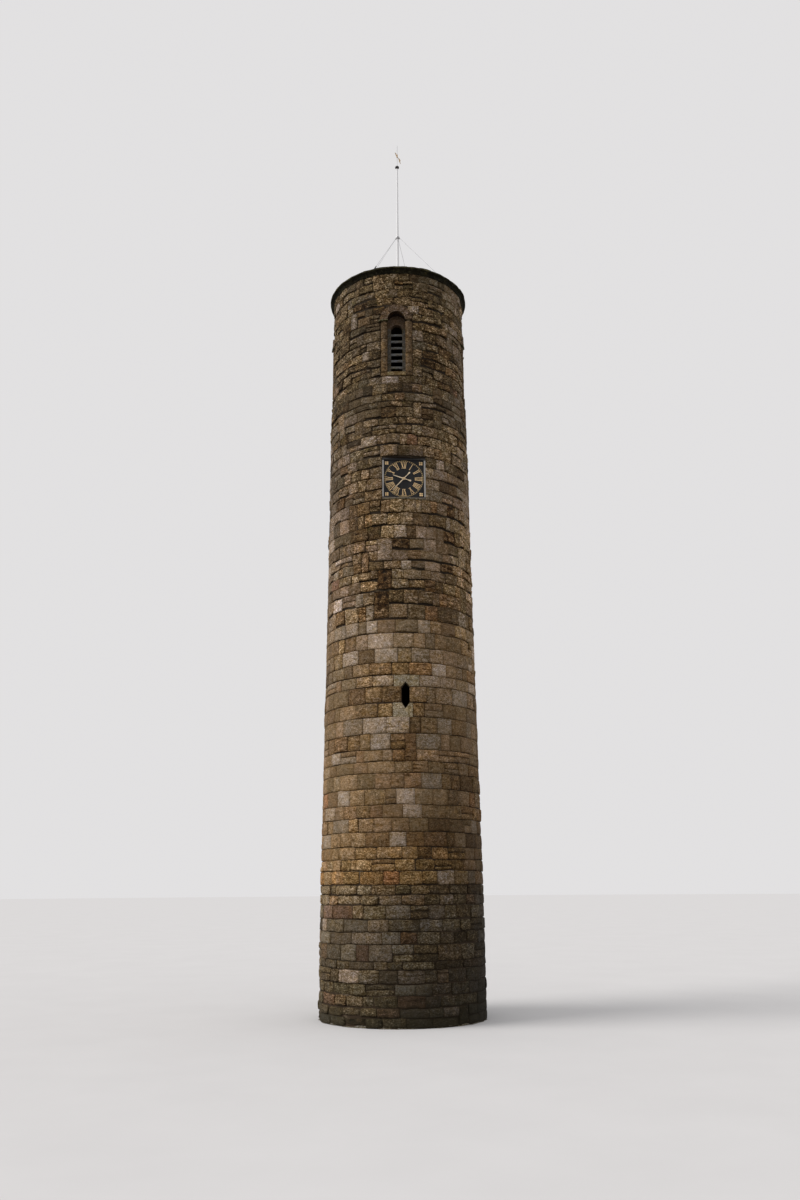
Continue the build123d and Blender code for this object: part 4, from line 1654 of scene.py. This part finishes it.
@dataclass(frozen=True)
class ArchDressing:
    """Stones around a round-headed opening: an arch over jambs, both on the curve of the wall.

    Inner is the half width of the opening, jamb and hood the outer edges of the jambs and the arch. The bare
    impost is the heading and side of one that has worn away.
    """

    name: str
    slot: str
    replaced: tuple[str, ...]
    headings: tuple[float, ...]
    finish: Sandstone
    inner: float
    jamb: float
    hood: float
    foot: float
    spring: float
    face: float
    depth: float
    tint: Tint
    arch_tint: Tint
    arch_trim: Trim
    jamb_trim: Trim
    arch_stones: int = 7
    jamb_stones: int = 5
    impost: float = 0.0
    impost_reach: float = 0.055
    impost_proud: float = 0.038
    impost_tint: Tint = (0.13, 0.125, 0.085)
    bare_impost: tuple[float, int] = (9.0, 0)
    bare_tint: Tint = (0.05, 0.04, 0.025)
    footing: float = 0.0
    roll_tint: Tint = (0.135, 0.098, 0.066)
    roll: float = 0.0
    seed: int = 71

    def spot(self, heading: float, across: float, up: float, behind: float) -> Vector:
        """Point of the dressing, seen flat from its heading, at a depth behind the curved face."""
        out = math.sqrt(max(0.0, (self.face - behind) ** 2 - across**2))
        return at_level(rightward(heading) * across + outward(heading) * out, up)

    def build(self) -> None:
        """Lays the arches and the jambs of every heading."""
        works = BlockWorks(self.seed)
        for heading in self.headings:
            self.arch(works, heading)
            for side in (-1, 1):
                self.jambs(works, heading, side)
        add_piece(self.name, works.form, self.finish, self.slot, self.replaced)

    @staticmethod
    def shade(tint: Tint, dice: random.Random) -> Tint:
        """A tint as one stone shows it, a little lighter or darker."""
        strength = dice.uniform(0.85, 1.16)
        return (tint[0] * strength, tint[1] * strength, tint[2] * strength)

    def arch(self, works: BlockWorks, heading: float) -> None:
        """Lays the arch stones, left to right, and the roll on their inner edge.

        Args:
            works: Where they are laid.
            heading: Heading of the opening.
        """
        middle = (self.inner + self.hood) / 2
        marks = [math.pi * n / self.arch_stones for n in range(self.arch_stones + 1)]
        for number in range(1, self.arch_stones):
            marks[number] += works.dice.uniform(-0.05, 0.05)

        def place(across: float, up: float, behind: float) -> Vector:
            """Point at a length along the arch and a radius."""
            turn = across / middle
            return self.spot(heading, -up * math.cos(turn), self.spring + up * math.sin(turn), behind)

        for left, right in zip(marks, marks[1:]):
            works.lay(
                left * middle + 0.002,
                right * middle - 0.002,
                even(self.inner),
                even(self.hood),
                place,
                self.arch_trim,
                self.shade(self.arch_tint, works.dice),
                (0.3, 0.5, 0.5),
                works.dice.uniform(-0.006, 0.004),
            )
        if self.roll > 0:
            turns = [math.tau * n / 8 for n in range(8)]
            section = [(math.cos(turn) * self.roll, math.sin(turn) * self.roll) for turn in turns]

            def along(side: float, out: float, share: float) -> Vector:
                """Point of the roll at a share of the arch."""
                return place(math.pi * share * middle, self.inner + 0.012 + side, -out - 0.002)

            works.mould(section, 28, along, self.roll_tint)

    def jambs(self, works: BlockWorks, heading: float, side: int) -> None:
        """Lays the stones of one jamb from the foot up, and its impost.

        Args:
            works: Where they are laid.
            heading: Heading of the opening.
            side: -1 for the left jamb and 1 for the right one.
        """
        left, right = sorted((side * self.inner, side * self.jamb))
        top = self.spring - self.impost

        def place(across: float, up: float, behind: float) -> Vector:
            """Point of the jamb."""
            return self.spot(heading, across, up, behind)

        if self.footing > 0:
            works.lay(
                left + 0.002,
                right - 0.002,
                even(self.foot - self.footing + 0.004),
                even(self.foot - 0.003),
                place,
                Trim(depth=self.depth, rough=0.010, facet=0.05, tilt=0.006),
                self.shade(self.tint, works.dice),
                (0.3, 0.7, 0.7),
                0.016,
            )
        heights = [works.dice.uniform(0.75, 1.3) for _ in range(self.jamb_stones)]
        level = self.foot
        for height in heights:
            upper = level + (top - self.foot) * height / sum(heights)
            works.lay(
                left + 0.001,
                right - 0.001,
                even(level + 0.001),
                even(upper - 0.001),
                place,
                self.jamb_trim,
                self.shade(self.tint, works.dice),
                (0.2, 0.5, 0.5),
                works.dice.uniform(-0.003, 0.003),
            )
            level = upper
        if self.impost == 0:
            return
        low, high = even(top + 0.001), even(self.spring - 0.001)
        if (heading, side) == self.bare_impost:
            trim = Trim(depth=self.depth, rough=0.018, corner=0.012, facet=0.05)
            works.lay(left, right, low, high, place, trim, self.bare_tint, (0.3, 0.8, 0.9), 0.012)
        else:
            trim = Trim(depth=self.depth + self.impost_proud, rough=0.004, facet=0.05, ring=0.008)
            works.lay(
                *sorted((side * (self.inner - 0.01), side * (self.jamb + self.impost_reach))),
                low,
                high,
                lambda across, up, behind: place(across, up, behind - self.impost_proud),
                trim,
                self.impost_tint,
                (0.2, 0.5, 0.6),
            )


@dataclass(frozen=True)
class Cornice:
    """Projecting stones at the wall head, their upper edge broken and mossy.

    The section's corners each have a painted shade: dark under the soffit and in the cove, light on the face,
    darker again at its chamfer and on the top.
    """

    inner: float
    outer: float
    foot: float
    top: float
    cove: float
    chamfer: float
    tint: Tint = (0.030, 0.027, 0.014)
    # Painted shade of each corner of the section, in order.
    painted_shades: tuple[float, ...] = (0.5, *[0.45] * 6, 0.8, 1.5, 1.7, 0.5, *[0.35] * 3, 0.8)
    stones: int = 33
    steps: int = 7
    seed: int = 91

    def section(self) -> list[tuple[float, float]]:
        """Corners of the section, from the inside of the foot outwards and round over the top.

        Returns:
            Pairs of a radius and a level.
        """
        cove = []
        for step in range(7):
            turn = math.pi / 2 * step / 6
            cove.append((self.outer - self.cove * math.cos(turn), self.foot + self.cove * math.sin(turn)))
        low, high = self.foot + self.cove, self.top - self.chamfer
        face = [(self.outer, lerp(low, high, share)) for share in (0.35, 0.7, 1)]
        head = [(self.outer - inwards, self.top) for inwards in (self.chamfer, 0.12, 0.24)]
        return [(self.inner, self.foot)] + cove + face + head + [(self.inner, self.top)]

    def build(self) -> None:
        """Lays the ring of cornice stones."""
        works = BlockWorks(self.seed)
        dice = works.dice
        widths = [dice.uniform(0.75, 1.3) for _ in range(self.stones)]
        start = dice.uniform(0, math.tau)
        for width in widths:
            end = start + math.tau * width / sum(widths)
            sunk, out, joint = dice.uniform(-0.004, 0.030), dice.uniform(-0.012, 0.004), 0.003 / self.outer
            ends = (start + joint, end - joint)

            def place(radius: float, level: float, share: float) -> Vector:
                """Point of the stone, worn towards its upper edge."""
                heading = lerp(*ends, share)
                spot = round_spot(heading, 9.0, level * 7.0)
                near_edge = max(0.0, (radius - self.inner - 0.25) / (self.outer - self.inner - 0.25))
                rise = max(0.0, (level - self.foot) / (self.top - self.foot))
                drop = rise * near_edge * (sunk + 0.026 * max(0.0, noise.noise(spot) + 0.25))
                back = near_edge * (0.010 * noise.noise(spot.yzx) - out) * (0.3 + rise)
                return at_level(outward(heading) * (radius - max(0.0, back)), level - drop)

            strength = dice.uniform(0.6, 1.5)
            tint = tuple(part * strength for part in self.tint)
            works.mould(self.section(), self.steps, place, tint, (0.2, 0.6, 0.8), self.painted_shades)
            start = end
        finish = Sandstone("mossy_sandstone", lichen=0.45, soot=0.6)
        add_piece("cornice_stones", works.form, finish, "mossy_stone", ("cornice",))


@dataclass(frozen=True)
class ClockFace:
    """Gilt hour numerals, minute marks and corner ornaments on the flat board."""

    heading: float
    level: float
    board: float
    foot_radius: float = 0.338
    head_radius: float = 0.540
    true_radius: float = 0.50
    thick: float = 0.0175
    thin: float = 0.010
    raised: float = 0.004
    bead_circle: float = 0.568
    bead_radii: Arc = (0.015, 0.010)
    rim_radius: float = 0.586
    corner_across: float = 0.515
    corner_up: float = 0.500
    leaf_circle: float = 0.039
    leaf_radii: Arc = (0.026, 0.020)

    def plane(self) -> Matrix:
        """Frame of the board: x to the right, y up, z outwards."""
        right, out = rightward(self.heading), outward(self.heading)
        turned = Matrix((right, Vector((0.0, 0.0, 1.0)), out)).transposed().to_4x4()
        return Matrix.Translation(out * self.board + Vector((0.0, 0.0, self.level))) @ turned

    def bar(
        self, form: bmesh.types.BMesh, first: Vector, second: Vector, width: float, low: float = 1.0
    ) -> None:
        """Adds a flat bar between two points of the board.

        Args:
            form: Where it is added.
            first: One end.
            second: The other end.
            width: Its width.
            low: Share of the full height, so that strokes which cross have faces of their own.
        """
        along, height = second - first, self.raised * low
        turn = Matrix.Rotation(math.atan2(along.y, along.x), 4, "Z")
        size = Matrix.Diagonal((along.length, width, height, 1.0))
        middle = Matrix.Translation(((first.x + second.x) / 2, (first.y + second.y) / 2, height / 2))
        bmesh.ops.create_cube(form, size=1.0, matrix=self.plane() @ middle @ turn @ size)

    def button(self, form: bmesh.types.BMesh, across: float, up: float, radii: Arc, sides: int) -> None:
        """Adds a flat button with a sloped edge at a point of the board."""
        middle = Matrix.Translation((across, up, self.raised / 2))
        add_disc(form, self.plane() @ middle, self.raised, *radii, sides)

    def numerals(self) -> None:
        """Builds the twelve numerals, their heads outwards."""
        form = bmesh.new()
        widths = {"I": 0.047, "V": 0.096, "X": 0.092}
        words = ("XII", "I", "II", "III", "IIII", "V", "VI", "VII", "VIII", "IX", "X", "XI")
        low, high = self.foot_radius, self.head_radius
        for hour, word in enumerate(words):
            angle = math.pi / 2 - math.tau * hour / 12
            radial = Vector((math.cos(angle), math.sin(angle), 0.0))
            side = Vector((math.sin(angle), -math.cos(angle), 0.0))

            def at(across: float, radius: float) -> Vector:
                """Point of the board at a place across the numeral, which narrows inwards, and a radius."""
                return radial * radius + side * (across * radius / self.true_radius)

            total = sum(widths[letter] for letter in word)
            place = -total / 2
            for letter in word:
                left, right = place + 0.006, place + widths[letter] - 0.006
                middle = (left + right) / 2
                if letter == "I":
                    self.bar(form, at(middle, low), at(middle, high), self.thick)
                elif letter == "V":
                    self.bar(form, at(left + 0.008, high), at(middle, low), self.thick)
                    self.bar(form, at(right - 0.004, high), at(middle, low), self.thin, 0.8)
                else:
                    self.bar(form, at(left + 0.010, high), at(right - 0.010, low), self.thick)
                    self.bar(form, at(right - 0.006, high), at(left + 0.006, low), self.thin, 0.8)
                place += widths[letter]
            for radius in (low, high):
                self.bar(form, at(-total / 2, radius), at(total / 2, radius), self.thin, 0.6)
        add_piece("clock_numerals", form, Gilding("numeral_gilding"), "gilt", smooth=False)

    def minutes(self) -> None:
        """Builds a thin rim with a bead at each minute."""
        form = bmesh.new()
        for number in range(60):
            angle = math.tau * number / 60
            across, up = self.bead_circle * math.cos(angle), self.bead_circle * math.sin(angle)
            self.button(form, across, up, self.bead_radii, 10)
        plane = self.plane()
        middle, out = plane.translation, plane.to_3x3() @ Vector((0.0, 0.0, 1.0))
        upright = Matrix.Rotation(math.pi / 2, 4, "X")
        profile = plane @ (Matrix.Translation((self.rim_radius, 0.0, self.raised / 2)) @ upright)
        ring = bmesh.ops.create_circle(form, segments=4, radius=self.raised * 0.7, matrix=profile)["verts"]
        edges = list({edge for vert in ring for edge in vert.link_edges})
        bmesh.ops.spin(
            form, geom=ring + edges, cent=middle, axis=out, angle=math.tau, steps=96, use_merge=True
        )
        bmesh.ops.recalc_face_normals(form, faces=form.faces)
        finish = Gilding("minute_gilding", (0.50, 0.36, 0.17))
        add_piece("minute_beads", form, finish, "gilt", ("minute_ring",), smooth=False)

    def corners(self) -> None:
        """Builds a four-leafed flower in each corner of the board."""
        form = bmesh.new()
        for across in (-self.corner_across, self.corner_across):
            for up in (-self.corner_up, self.corner_up):
                for turn in range(4):
                    angle = math.pi / 4 + turn * math.pi / 2
                    aside, above = self.leaf_circle * math.cos(angle), self.leaf_circle * math.sin(angle)
                    self.button(form, across + aside, up + above, self.leaf_radii, 14)
        add_piece("clock_corner_flowers", form, Gilding("corner_gilding"), "gilt", smooth=False)

    def build(self) -> None:
        """Builds everything on the board."""
        self.numerals()
        self.minutes()
        self.corners()


@dataclass(frozen=True)
class ClockLedge:
    """Thin pale stone that the clock's frame stands on."""

    heading: float
    half: float
    foot: float
    head: float
    face: float
    back: float
    joints: Arc = (-0.18, 0.31)
    tint: Tint = (0.20, 0.175, 0.125)
    seed: int = 97

    def build(self) -> None:
        """Lays the ledge in three lengths."""
        works = BlockWorks(self.seed)
        marks = (-self.half, *self.joints, self.half)
        trim = Trim(depth=self.face - self.back, rough=0.004, facet=0.05)

        def place(across: float, up: float, behind: float) -> Vector:
            """Point of the ledge, its front on the curve of the wall."""
            out = max(math.sqrt((self.face - behind) ** 2 - across**2), self.back)
            return at_level(rightward(self.heading) * across + outward(self.heading) * out, up)

        for left, right in zip(marks, marks[1:]):
            works.lay(left + 0.001, right - 0.001, even(self.foot), even(self.head), place, trim, self.tint)
        add_piece("clock_ledge", works.form, Sandstone("ledge_sandstone"), "pale_stone")


@dataclass(frozen=True)
class LeadRolls:
    """Rolls over the seams between the sheets of the roof."""

    inner: float
    outer: float
    inner_level: float
    outer_level: float
    count: int = 12
    thick: float = 0.044

    def build(self) -> None:
        """Lays the rolls from the crown to the cornice, half sunk in the deck."""
        form = bmesh.new()
        run, fall = self.outer - self.inner, self.inner_level - self.outer_level
        lean = Matrix.Rotation(math.pi / 2 + math.atan2(fall, run), 4, "Y")
        level = (self.inner_level + self.outer_level) / 2
        middle = Matrix.Translation(((self.inner + self.outer) / 2, 0.0, level))
        for number in range(self.count):
            turn = Matrix.Rotation(math.tau * (number + 0.5) / self.count, 4, "Z")
            add_disc(form, turn @ middle @ lean, math.hypot(run, fall), self.thick / 2, self.thick / 2, 16)
        add_piece("lead_rolls", form, Lead("roll_lead"), "roof_lead")


@dataclass(frozen=True)
class GroundFillet:
    """Mortar run along the foot of the wall."""

    inner: float
    outer: float
    height: float
    tint: Tint = (0.115, 0.100, 0.075)
    arcs: int = 16
    steps: int = 24
    seed: int = 101

    def build(self) -> None:
        """Lays the fillet in arcs."""
        works = BlockWorks(self.seed)
        rise, run = self.height, self.outer - self.inner
        section = [
            (self.inner, 0.0),
            (self.outer, 0.0),
            (self.outer - 0.15 * run, 0.30 * rise),
            (self.outer - 0.45 * run, 0.70 * rise),
            (self.inner, rise),
        ]
        for number in range(self.arcs):
            start, end = math.tau * number / self.arcs, math.tau * (number + 1) / self.arcs

            def place(radius: float, level: float, share: float) -> Vector:
                """Point of the fillet, its edge uneven."""
                heading = lerp(start, end, share)
                waver = 0.5 + 0.9 * noise.noise(round_spot(heading, 8.0, level * 20.0))
                edge = self.inner + (radius - self.inner) * clamp(waver, 0.15)
                return at_level(outward(heading) * edge, level * clamp(waver, 0.2))

            works.mould(section, self.steps, place, self.tint)
        add_piece("ground_fillet", works.form, Sandstone("fillet_mortar", relief=0.01), "grey_stone")


@dataclass(frozen=True)
class Studio:
    """Floor, light and the camera at the photograph's angle."""

    distance: float = 29.9
    eye_level: float = 3.5
    turn: float = math.radians(1.6)
    tilt: float = math.radians(16.01)
    roll: float = math.radians(-0.39)
    focal: float = 30.0
    sensor: float = 36.0
    backdrop: Tint = (0.76, 0.75, 0.755)
    paving: Tint = (0.52, 0.51, 0.51)
    ground: Tint = (0.16, 0.155, 0.15)
    sky: Tint = (0.99, 0.99, 1.0)
    ambient: float = 0.92
    key: float = 2.5
    key_colour: Tint = (1.0, 0.98, 0.95)
    key_spread: float = math.radians(36)
    key_turn: float = math.radians(-74)
    key_rise: float = math.radians(36)

    def build(self) -> None:
        """Makes the floor, the world, the lamp and the camera."""
        self.floor()
        self.world()
        self.lamp()
        self.camera()
        bpy.context.scene.view_settings.view_transform = "Standard"

    def floor(self) -> None:
        """A wide pale disc under the tower."""
        web = Web("pale_floor")
        patch = web.noise(web.coords(), 0.4, 3.0)
        colour = web.mix(web.shown(), self.ground, self.paving)
        material = web.finish(web.dimmed(colour, 0.96 + patch * 0.08), 0.9, specular=0.0)
        form = bmesh.new()
        bmesh.ops.create_circle(form, cap_ends=True, segments=96, radius=400.0)
        meshed("floor", form, material)

    def world(self) -> None:
        """Even light from all round, behind it a pale backdrop."""
        web = Web("studio", world=True)
        light = web.node("ShaderNodeBackground", None, {"Color": self.sky, "Strength": self.ambient})
        seen = web.node("ShaderNodeBackground", None, {"Color": self.backdrop})
        mixed = web.node("ShaderNodeMixShader", None, {0: web.shown(), 1: light, 2: seen})
        web.close(mixed, "ShaderNodeOutputWorld")
        bpy.context.scene.world = web.owner

    def lamp(self) -> None:
        """A broad soft lamp from the left of the front."""
        data = bpy.data.lights.new("key", "SUN")
        data.energy = self.key
        data.angle = self.key_spread
        data.color = self.key_colour
        lamp = link("key", data)
        flat = math.cos(self.key_rise)
        towards = (math.sin(self.key_turn) * flat, -math.cos(self.key_turn) * flat, math.sin(self.key_rise))
        lamp.rotation_mode = "QUATERNION"
        lamp.rotation_quaternion = Vector(towards).to_track_quat("Z", "Y")

    def camera(self) -> None:
        """The camera, a little right of the front and tilted up."""
        data = bpy.data.cameras.new("camera")
        data.lens = self.focal
        data.sensor_width = self.sensor
        data.clip_end = 1000.0
        camera = link("camera", data)
        spot = Vector((math.sin(self.turn), -math.cos(self.turn), 0.0)) * self.distance
        spot.z = self.eye_level
        aim = Matrix.Rotation(self.turn, 4, "Z") @ Matrix.Rotation(math.pi / 2 + self.tilt, 4, "X")
        camera.matrix_world = Matrix.Translation(spot) @ aim @ Matrix.Rotation(self.roll, 4, "Z")
        bpy.context.scene.camera = camera


def wall_stages(drum: Drum) -> tuple[Masonry, ...]:
    """The four stretches of the wall, from the ground up.

    Args:
        drum: The mortar face that the stones lie on.

    Returns:
        The stretches, each with its beds, its openings and the wear of its stones.
    """
    headings = [side.value for side in Side]
    windows = tuple(Opening(heading, -0.495, 0.495, 18.68, SPRING_LEVEL) for heading in headings)
    hoods = tuple(Opening(heading, -0.52, 0.52, SPRING_LEVEL, SPRING_LEVEL, True) for heading in headings)
    clock = Opening(CLOCK_HEADING, -0.65, 0.65, 14.57, 15.97)
    slit = (
        Opening(Side.FRONT.value, -0.155, 0.40, 8.05, 8.45),
        Opening(Side.FRONT.value, 0.091, 0.309, 8.45, 8.92),
        Opening(Side.FRONT.value, -0.12, 0.58, 8.92, 9.24),
    )
    door = Opening(Side.REAR.value, -0.60, 0.60, 0.78, DOOR_SPRING, True)
    worn = Trim(ring=0.007, arris=0.007, rough=0.009, tilt=0.009, wobble=0.0055, shade_and_grime=0.50)
    common = {"drum": drum, "coat": StoneCoat()}
    return (
        Masonry(
            "base_stones", "grey_stone", seed=11,
            beds=(0.0, 0.25, 0.49, 0.78, 1.07, 1.41, 1.63, 2.04, 2.35, 2.67, 3.03, 3.30, 3.55),
            openings=(door,),
            finish=Sandstone("grey_sandstone", contrast=0.88, damp_top=1.0, lichen=0.04, soot=0.3),
            mean_length=0.60, sway=0.024, decay=0.50, spread=0.42,
            gaping=0.022, slip=0.008, splits=0.06, through=0.04,
            trim=Trim(
                ring=0.011, arris=0.009, rough=0.008, corner=0.003, bulge=0.010, tilt=0.007, shade_and_grime=0.42
            ),
            **common,
        ),
        Masonry(
            "lower_stones", "ochre_stone", seed=23,
            beds=(
                3.55, 3.91, 4.21, 4.53, 4.92, 5.29, 5.65, 6.08, 6.50, 6.82, 7.15, 7.59, 8.05,
                8.45, 8.92, 9.24, 9.60, 10.02, 10.47, 10.86,
            ),
            openings=slit,
            finish=Sandstone(
                "ochre_sandstone", relief=0.055, contrast=0.82, pitting=0.8, lichen=0.08, soot=0.25
            ),
            mean_length=0.49, sway=0.018, decay=0.24, spread=0.32,
            gaping=0.016, slip=0.005, splits=0.08, through=0.03,
            trim=Trim(
                ring=0.013, arris=0.010, rough=0.007, corner=0.003, bulge=0.010, tilt=0.006, shade_and_grime=0.58
            ),
            level_beds=(8.05, 8.45, 8.92, 9.24),
            **common,
        ),
        Masonry(
            "upper_stones", "brown_stone", seed=37,
            beds=(
                10.86, 11.32, 11.73, 12.07, 12.37, 12.65, 12.98, 13.35, 13.73, 14.15, 14.57,
                14.92, 15.27, 15.62, 15.97, 16.32, 16.67, 16.99, 17.25, 17.59, 17.80, 18.06, 18.40,
            ),
            openings=(clock,),
            finish=Sandstone("brown_sandstone", relief=0.09, contrast=1.1, soot=0.36),
            mean_length=0.40, sway=0.036, decay=0.50, spread=0.50,
            gaping=0.060, slip=0.010, splits=0.10, through=0.10,
            trim=worn,
            level_beds=(14.57, 15.97),
            **common,
        ),
        Masonry(
            "belfry_stones", "olive_stone", seed=53,
            beds=(
                18.40, 18.68, 19.03, 19.32, 19.61, 19.92, 20.28, 20.58, 20.87, 21.15, 21.44, 21.72, 22.03,
                WALL_HEAD,
            ),
            openings=windows + hoods,
            finish=Sandstone("olive_sandstone", relief=0.09, contrast=1.3, lichen=0.42),
            mean_length=0.38, sway=0.034, decay=0.50, spread=0.52,
            gaping=0.060, slip=0.010, splits=0.12, through=0.10,
            trim=worn,
            level_beds=(18.68,),
            **common,
        ),
    )


def dressings(drum: Drum) -> tuple[ArchDressing, ...]:
    """The stones around the belfry windows and the doorway.

    Args:
        drum: The mortar face that the doorway stands proud of.

    Returns:
        Both dressings.
    """
    door_tint, door_trim = (0.14, 0.105, 0.072), Trim(depth=0.35, rough=0.010, facet=0.06)
    return (
        ArchDressing(
            "window_arch_stones", "dressed_stone", ("window_hoods", "window_jambs"),
            headings=tuple(side.value for side in Side),
            finish=Sandstone("window_sandstone", relief=0.03, lichen=0.12, soot=0.45),
            inner=0.28, jamb=0.495, hood=0.52, foot=18.80, spring=SPRING_LEVEL, face=2.18, depth=0.30,
            tint=(0.116, 0.077, 0.043),
            arch_tint=(0.125, 0.084, 0.056),
            arch_trim=Trim(depth=0.30, rough=0.016, wobble=0.006, bulge=0.0, facet=0.05),
            jamb_trim=Trim(depth=0.30, rough=0.007, roll=0.055, bulge=0.0, tilt=0.001, facet=0.04, most=12),
            jamb_stones=3,
            impost=0.045, bare_impost=(Side.FRONT.value, 1), footing=0.12, roll=0.013,
        ),
        ArchDressing(
            "door_arch_stones", "dressed_stone", ("door_surround",),
            headings=(Side.REAR.value,),
            finish=Sandstone("doorway_sandstone", relief=0.03, lichen=0.12),
            inner=0.40, jamb=0.60, hood=0.60, foot=0.90, spring=DOOR_SPRING, depth=0.35,
            face=drum.radius(1.825) + STONE_PROUD + 0.04,
            tint=door_tint, arch_tint=door_tint, arch_trim=door_trim, jamb_trim=door_trim,
            arch_stones=9,
        ),
    )


def walls(*stages: str) -> tuple[str, ...]:
    """Names of the wall nodes of some stages."""
    return tuple(f"{stage}_wall_{side.name.lower()}" for stage in stages for side in Side)


def node_finishes() -> tuple[tuple[Finish, tuple[str, ...]], ...]:
    """Finishes of the CAD nodes that still show, each with the nodes that it goes on."""
    inner = Sandstone(
        "inner_sandstone", (0.102, 0.090, 0.073), relief=0.02, contrast=0.6, pitting=0.4, lichen=0.05,
        head_tint=(0.125, 0.083, 0.052), head_level=20.46,
    )
    pale = Sandstone("pale_sandstone", (0.29, 0.235, 0.155), relief=0.03, contrast=0.8, lichen=0.05)
    slate = Sandstone("slate", (0.17, 0.168, 0.16), relief=0.006, contrast=0.5, pitting=0.1, lichen=0.08)
    boards = Boards("floor_boards", (0.20, 0.15, 0.10), (0.10, 0.07, 0.045), (22.0, 1.0, 22.0))
    # The frame's top bar, above 15.84, is darkened by painted shadow; below 14.69 its foot is rusty.
    frame_paint = Paint(
        "grey_frame", (0.29, 0.275, 0.26), (0.50, 0.48, 0.46), wear=0.8, dark_level=15.84, foot_level=14.69
    )
    pointed = Mortar("pointed_mortar", (0.040, 0.027, 0.017), (0.15, 0.115, 0.075))
    washed = Mortar("washed_mortar", (0.024, 0.017, 0.011), (0.11, 0.083, 0.052))
    pale_gilding = Gilding("pale_gilding", (0.78, 0.63, 0.43), (0.5, 0.4, 0.28), 0.1)
    iron = Metalwork("dark_iron", (0.035, 0.035, 0.036))
    steel = Metalwork("galvanised_steel", (0.42, 0.42, 0.43), rusting=0.25)
    return (
        (pointed, (*walls("base", "lower"), "slit_wall")),
        (washed, walls("upper", "belfry")),
        (inner, ("inner_orders",)),
        (Sandstone("sill_sandstone", (0.17, 0.12, 0.058), relief=0.02), ("window_sills",)),
        (pale, ("slit_stones", "door_sill")),
        (Sandstone("floor_flags", (0.16, 0.145, 0.12)), ("entrance_floor",)),
        (boards, ("belfry_floor",)),
        (Lead("sheet_lead"), ("roof_deck",)),
        (slate, ("louvre_slats",)),
        (Paint("black_board", (0.012, 0.012, 0.013), (0.06, 0.06, 0.06)), ("clock_board",)),
        (frame_paint, ("clock_frame",)),
        (Gilding("gilding", (0.52, 0.34, 0.15)), ("clock_arbor", "vane_arrow")),
        (pale_gilding, ("hour_hand", "minute_hand")),
        (Paint("white_pole", (0.76, 0.75, 0.76), (0.6, 0.6, 0.6), wear=0.1), ("flagpole",)),
        (iron, ("pole_socket", "pole_cap", "turnbuckles", "guy_anchors")),
        (steel, ("vane_spindle", "guy_collar", "guy_wires")),
        (Boards("door_planks", (0.085, 0.060, 0.040), (0.040, 0.028, 0.018)), ("door_leaf",)),
    )


def main() -> None:
    """Builds the pieces in order."""
    logging.basicConfig(level=logging.INFO, format="%(message)s")
    drum = Drum.read()
    pieces = (
        Studio(),
        *wall_stages(drum),
        *dressings(drum),
        Cornice(inner=1.70, outer=2.283, foot=WALL_HEAD, top=22.50, cove=0.125, chamfer=0.025),
        ClockFace(CLOCK_HEADING, CLOCK_LEVEL, board=2.07),
        ClockLedge(CLOCK_HEADING, half=0.655, foot=14.575, head=14.616, face=2.205, back=2.032),
        LeadRolls(inner=0.32, outer=1.69, inner_level=22.427, outer_level=22.360),
        GroundFillet(inner=2.29, outer=2.368, height=0.07),
    )
    for piece in pieces:
        piece.build()
    for finish, nodes in node_finishes():
        dress(finish, nodes)


if __name__ == "__main__":
    main()
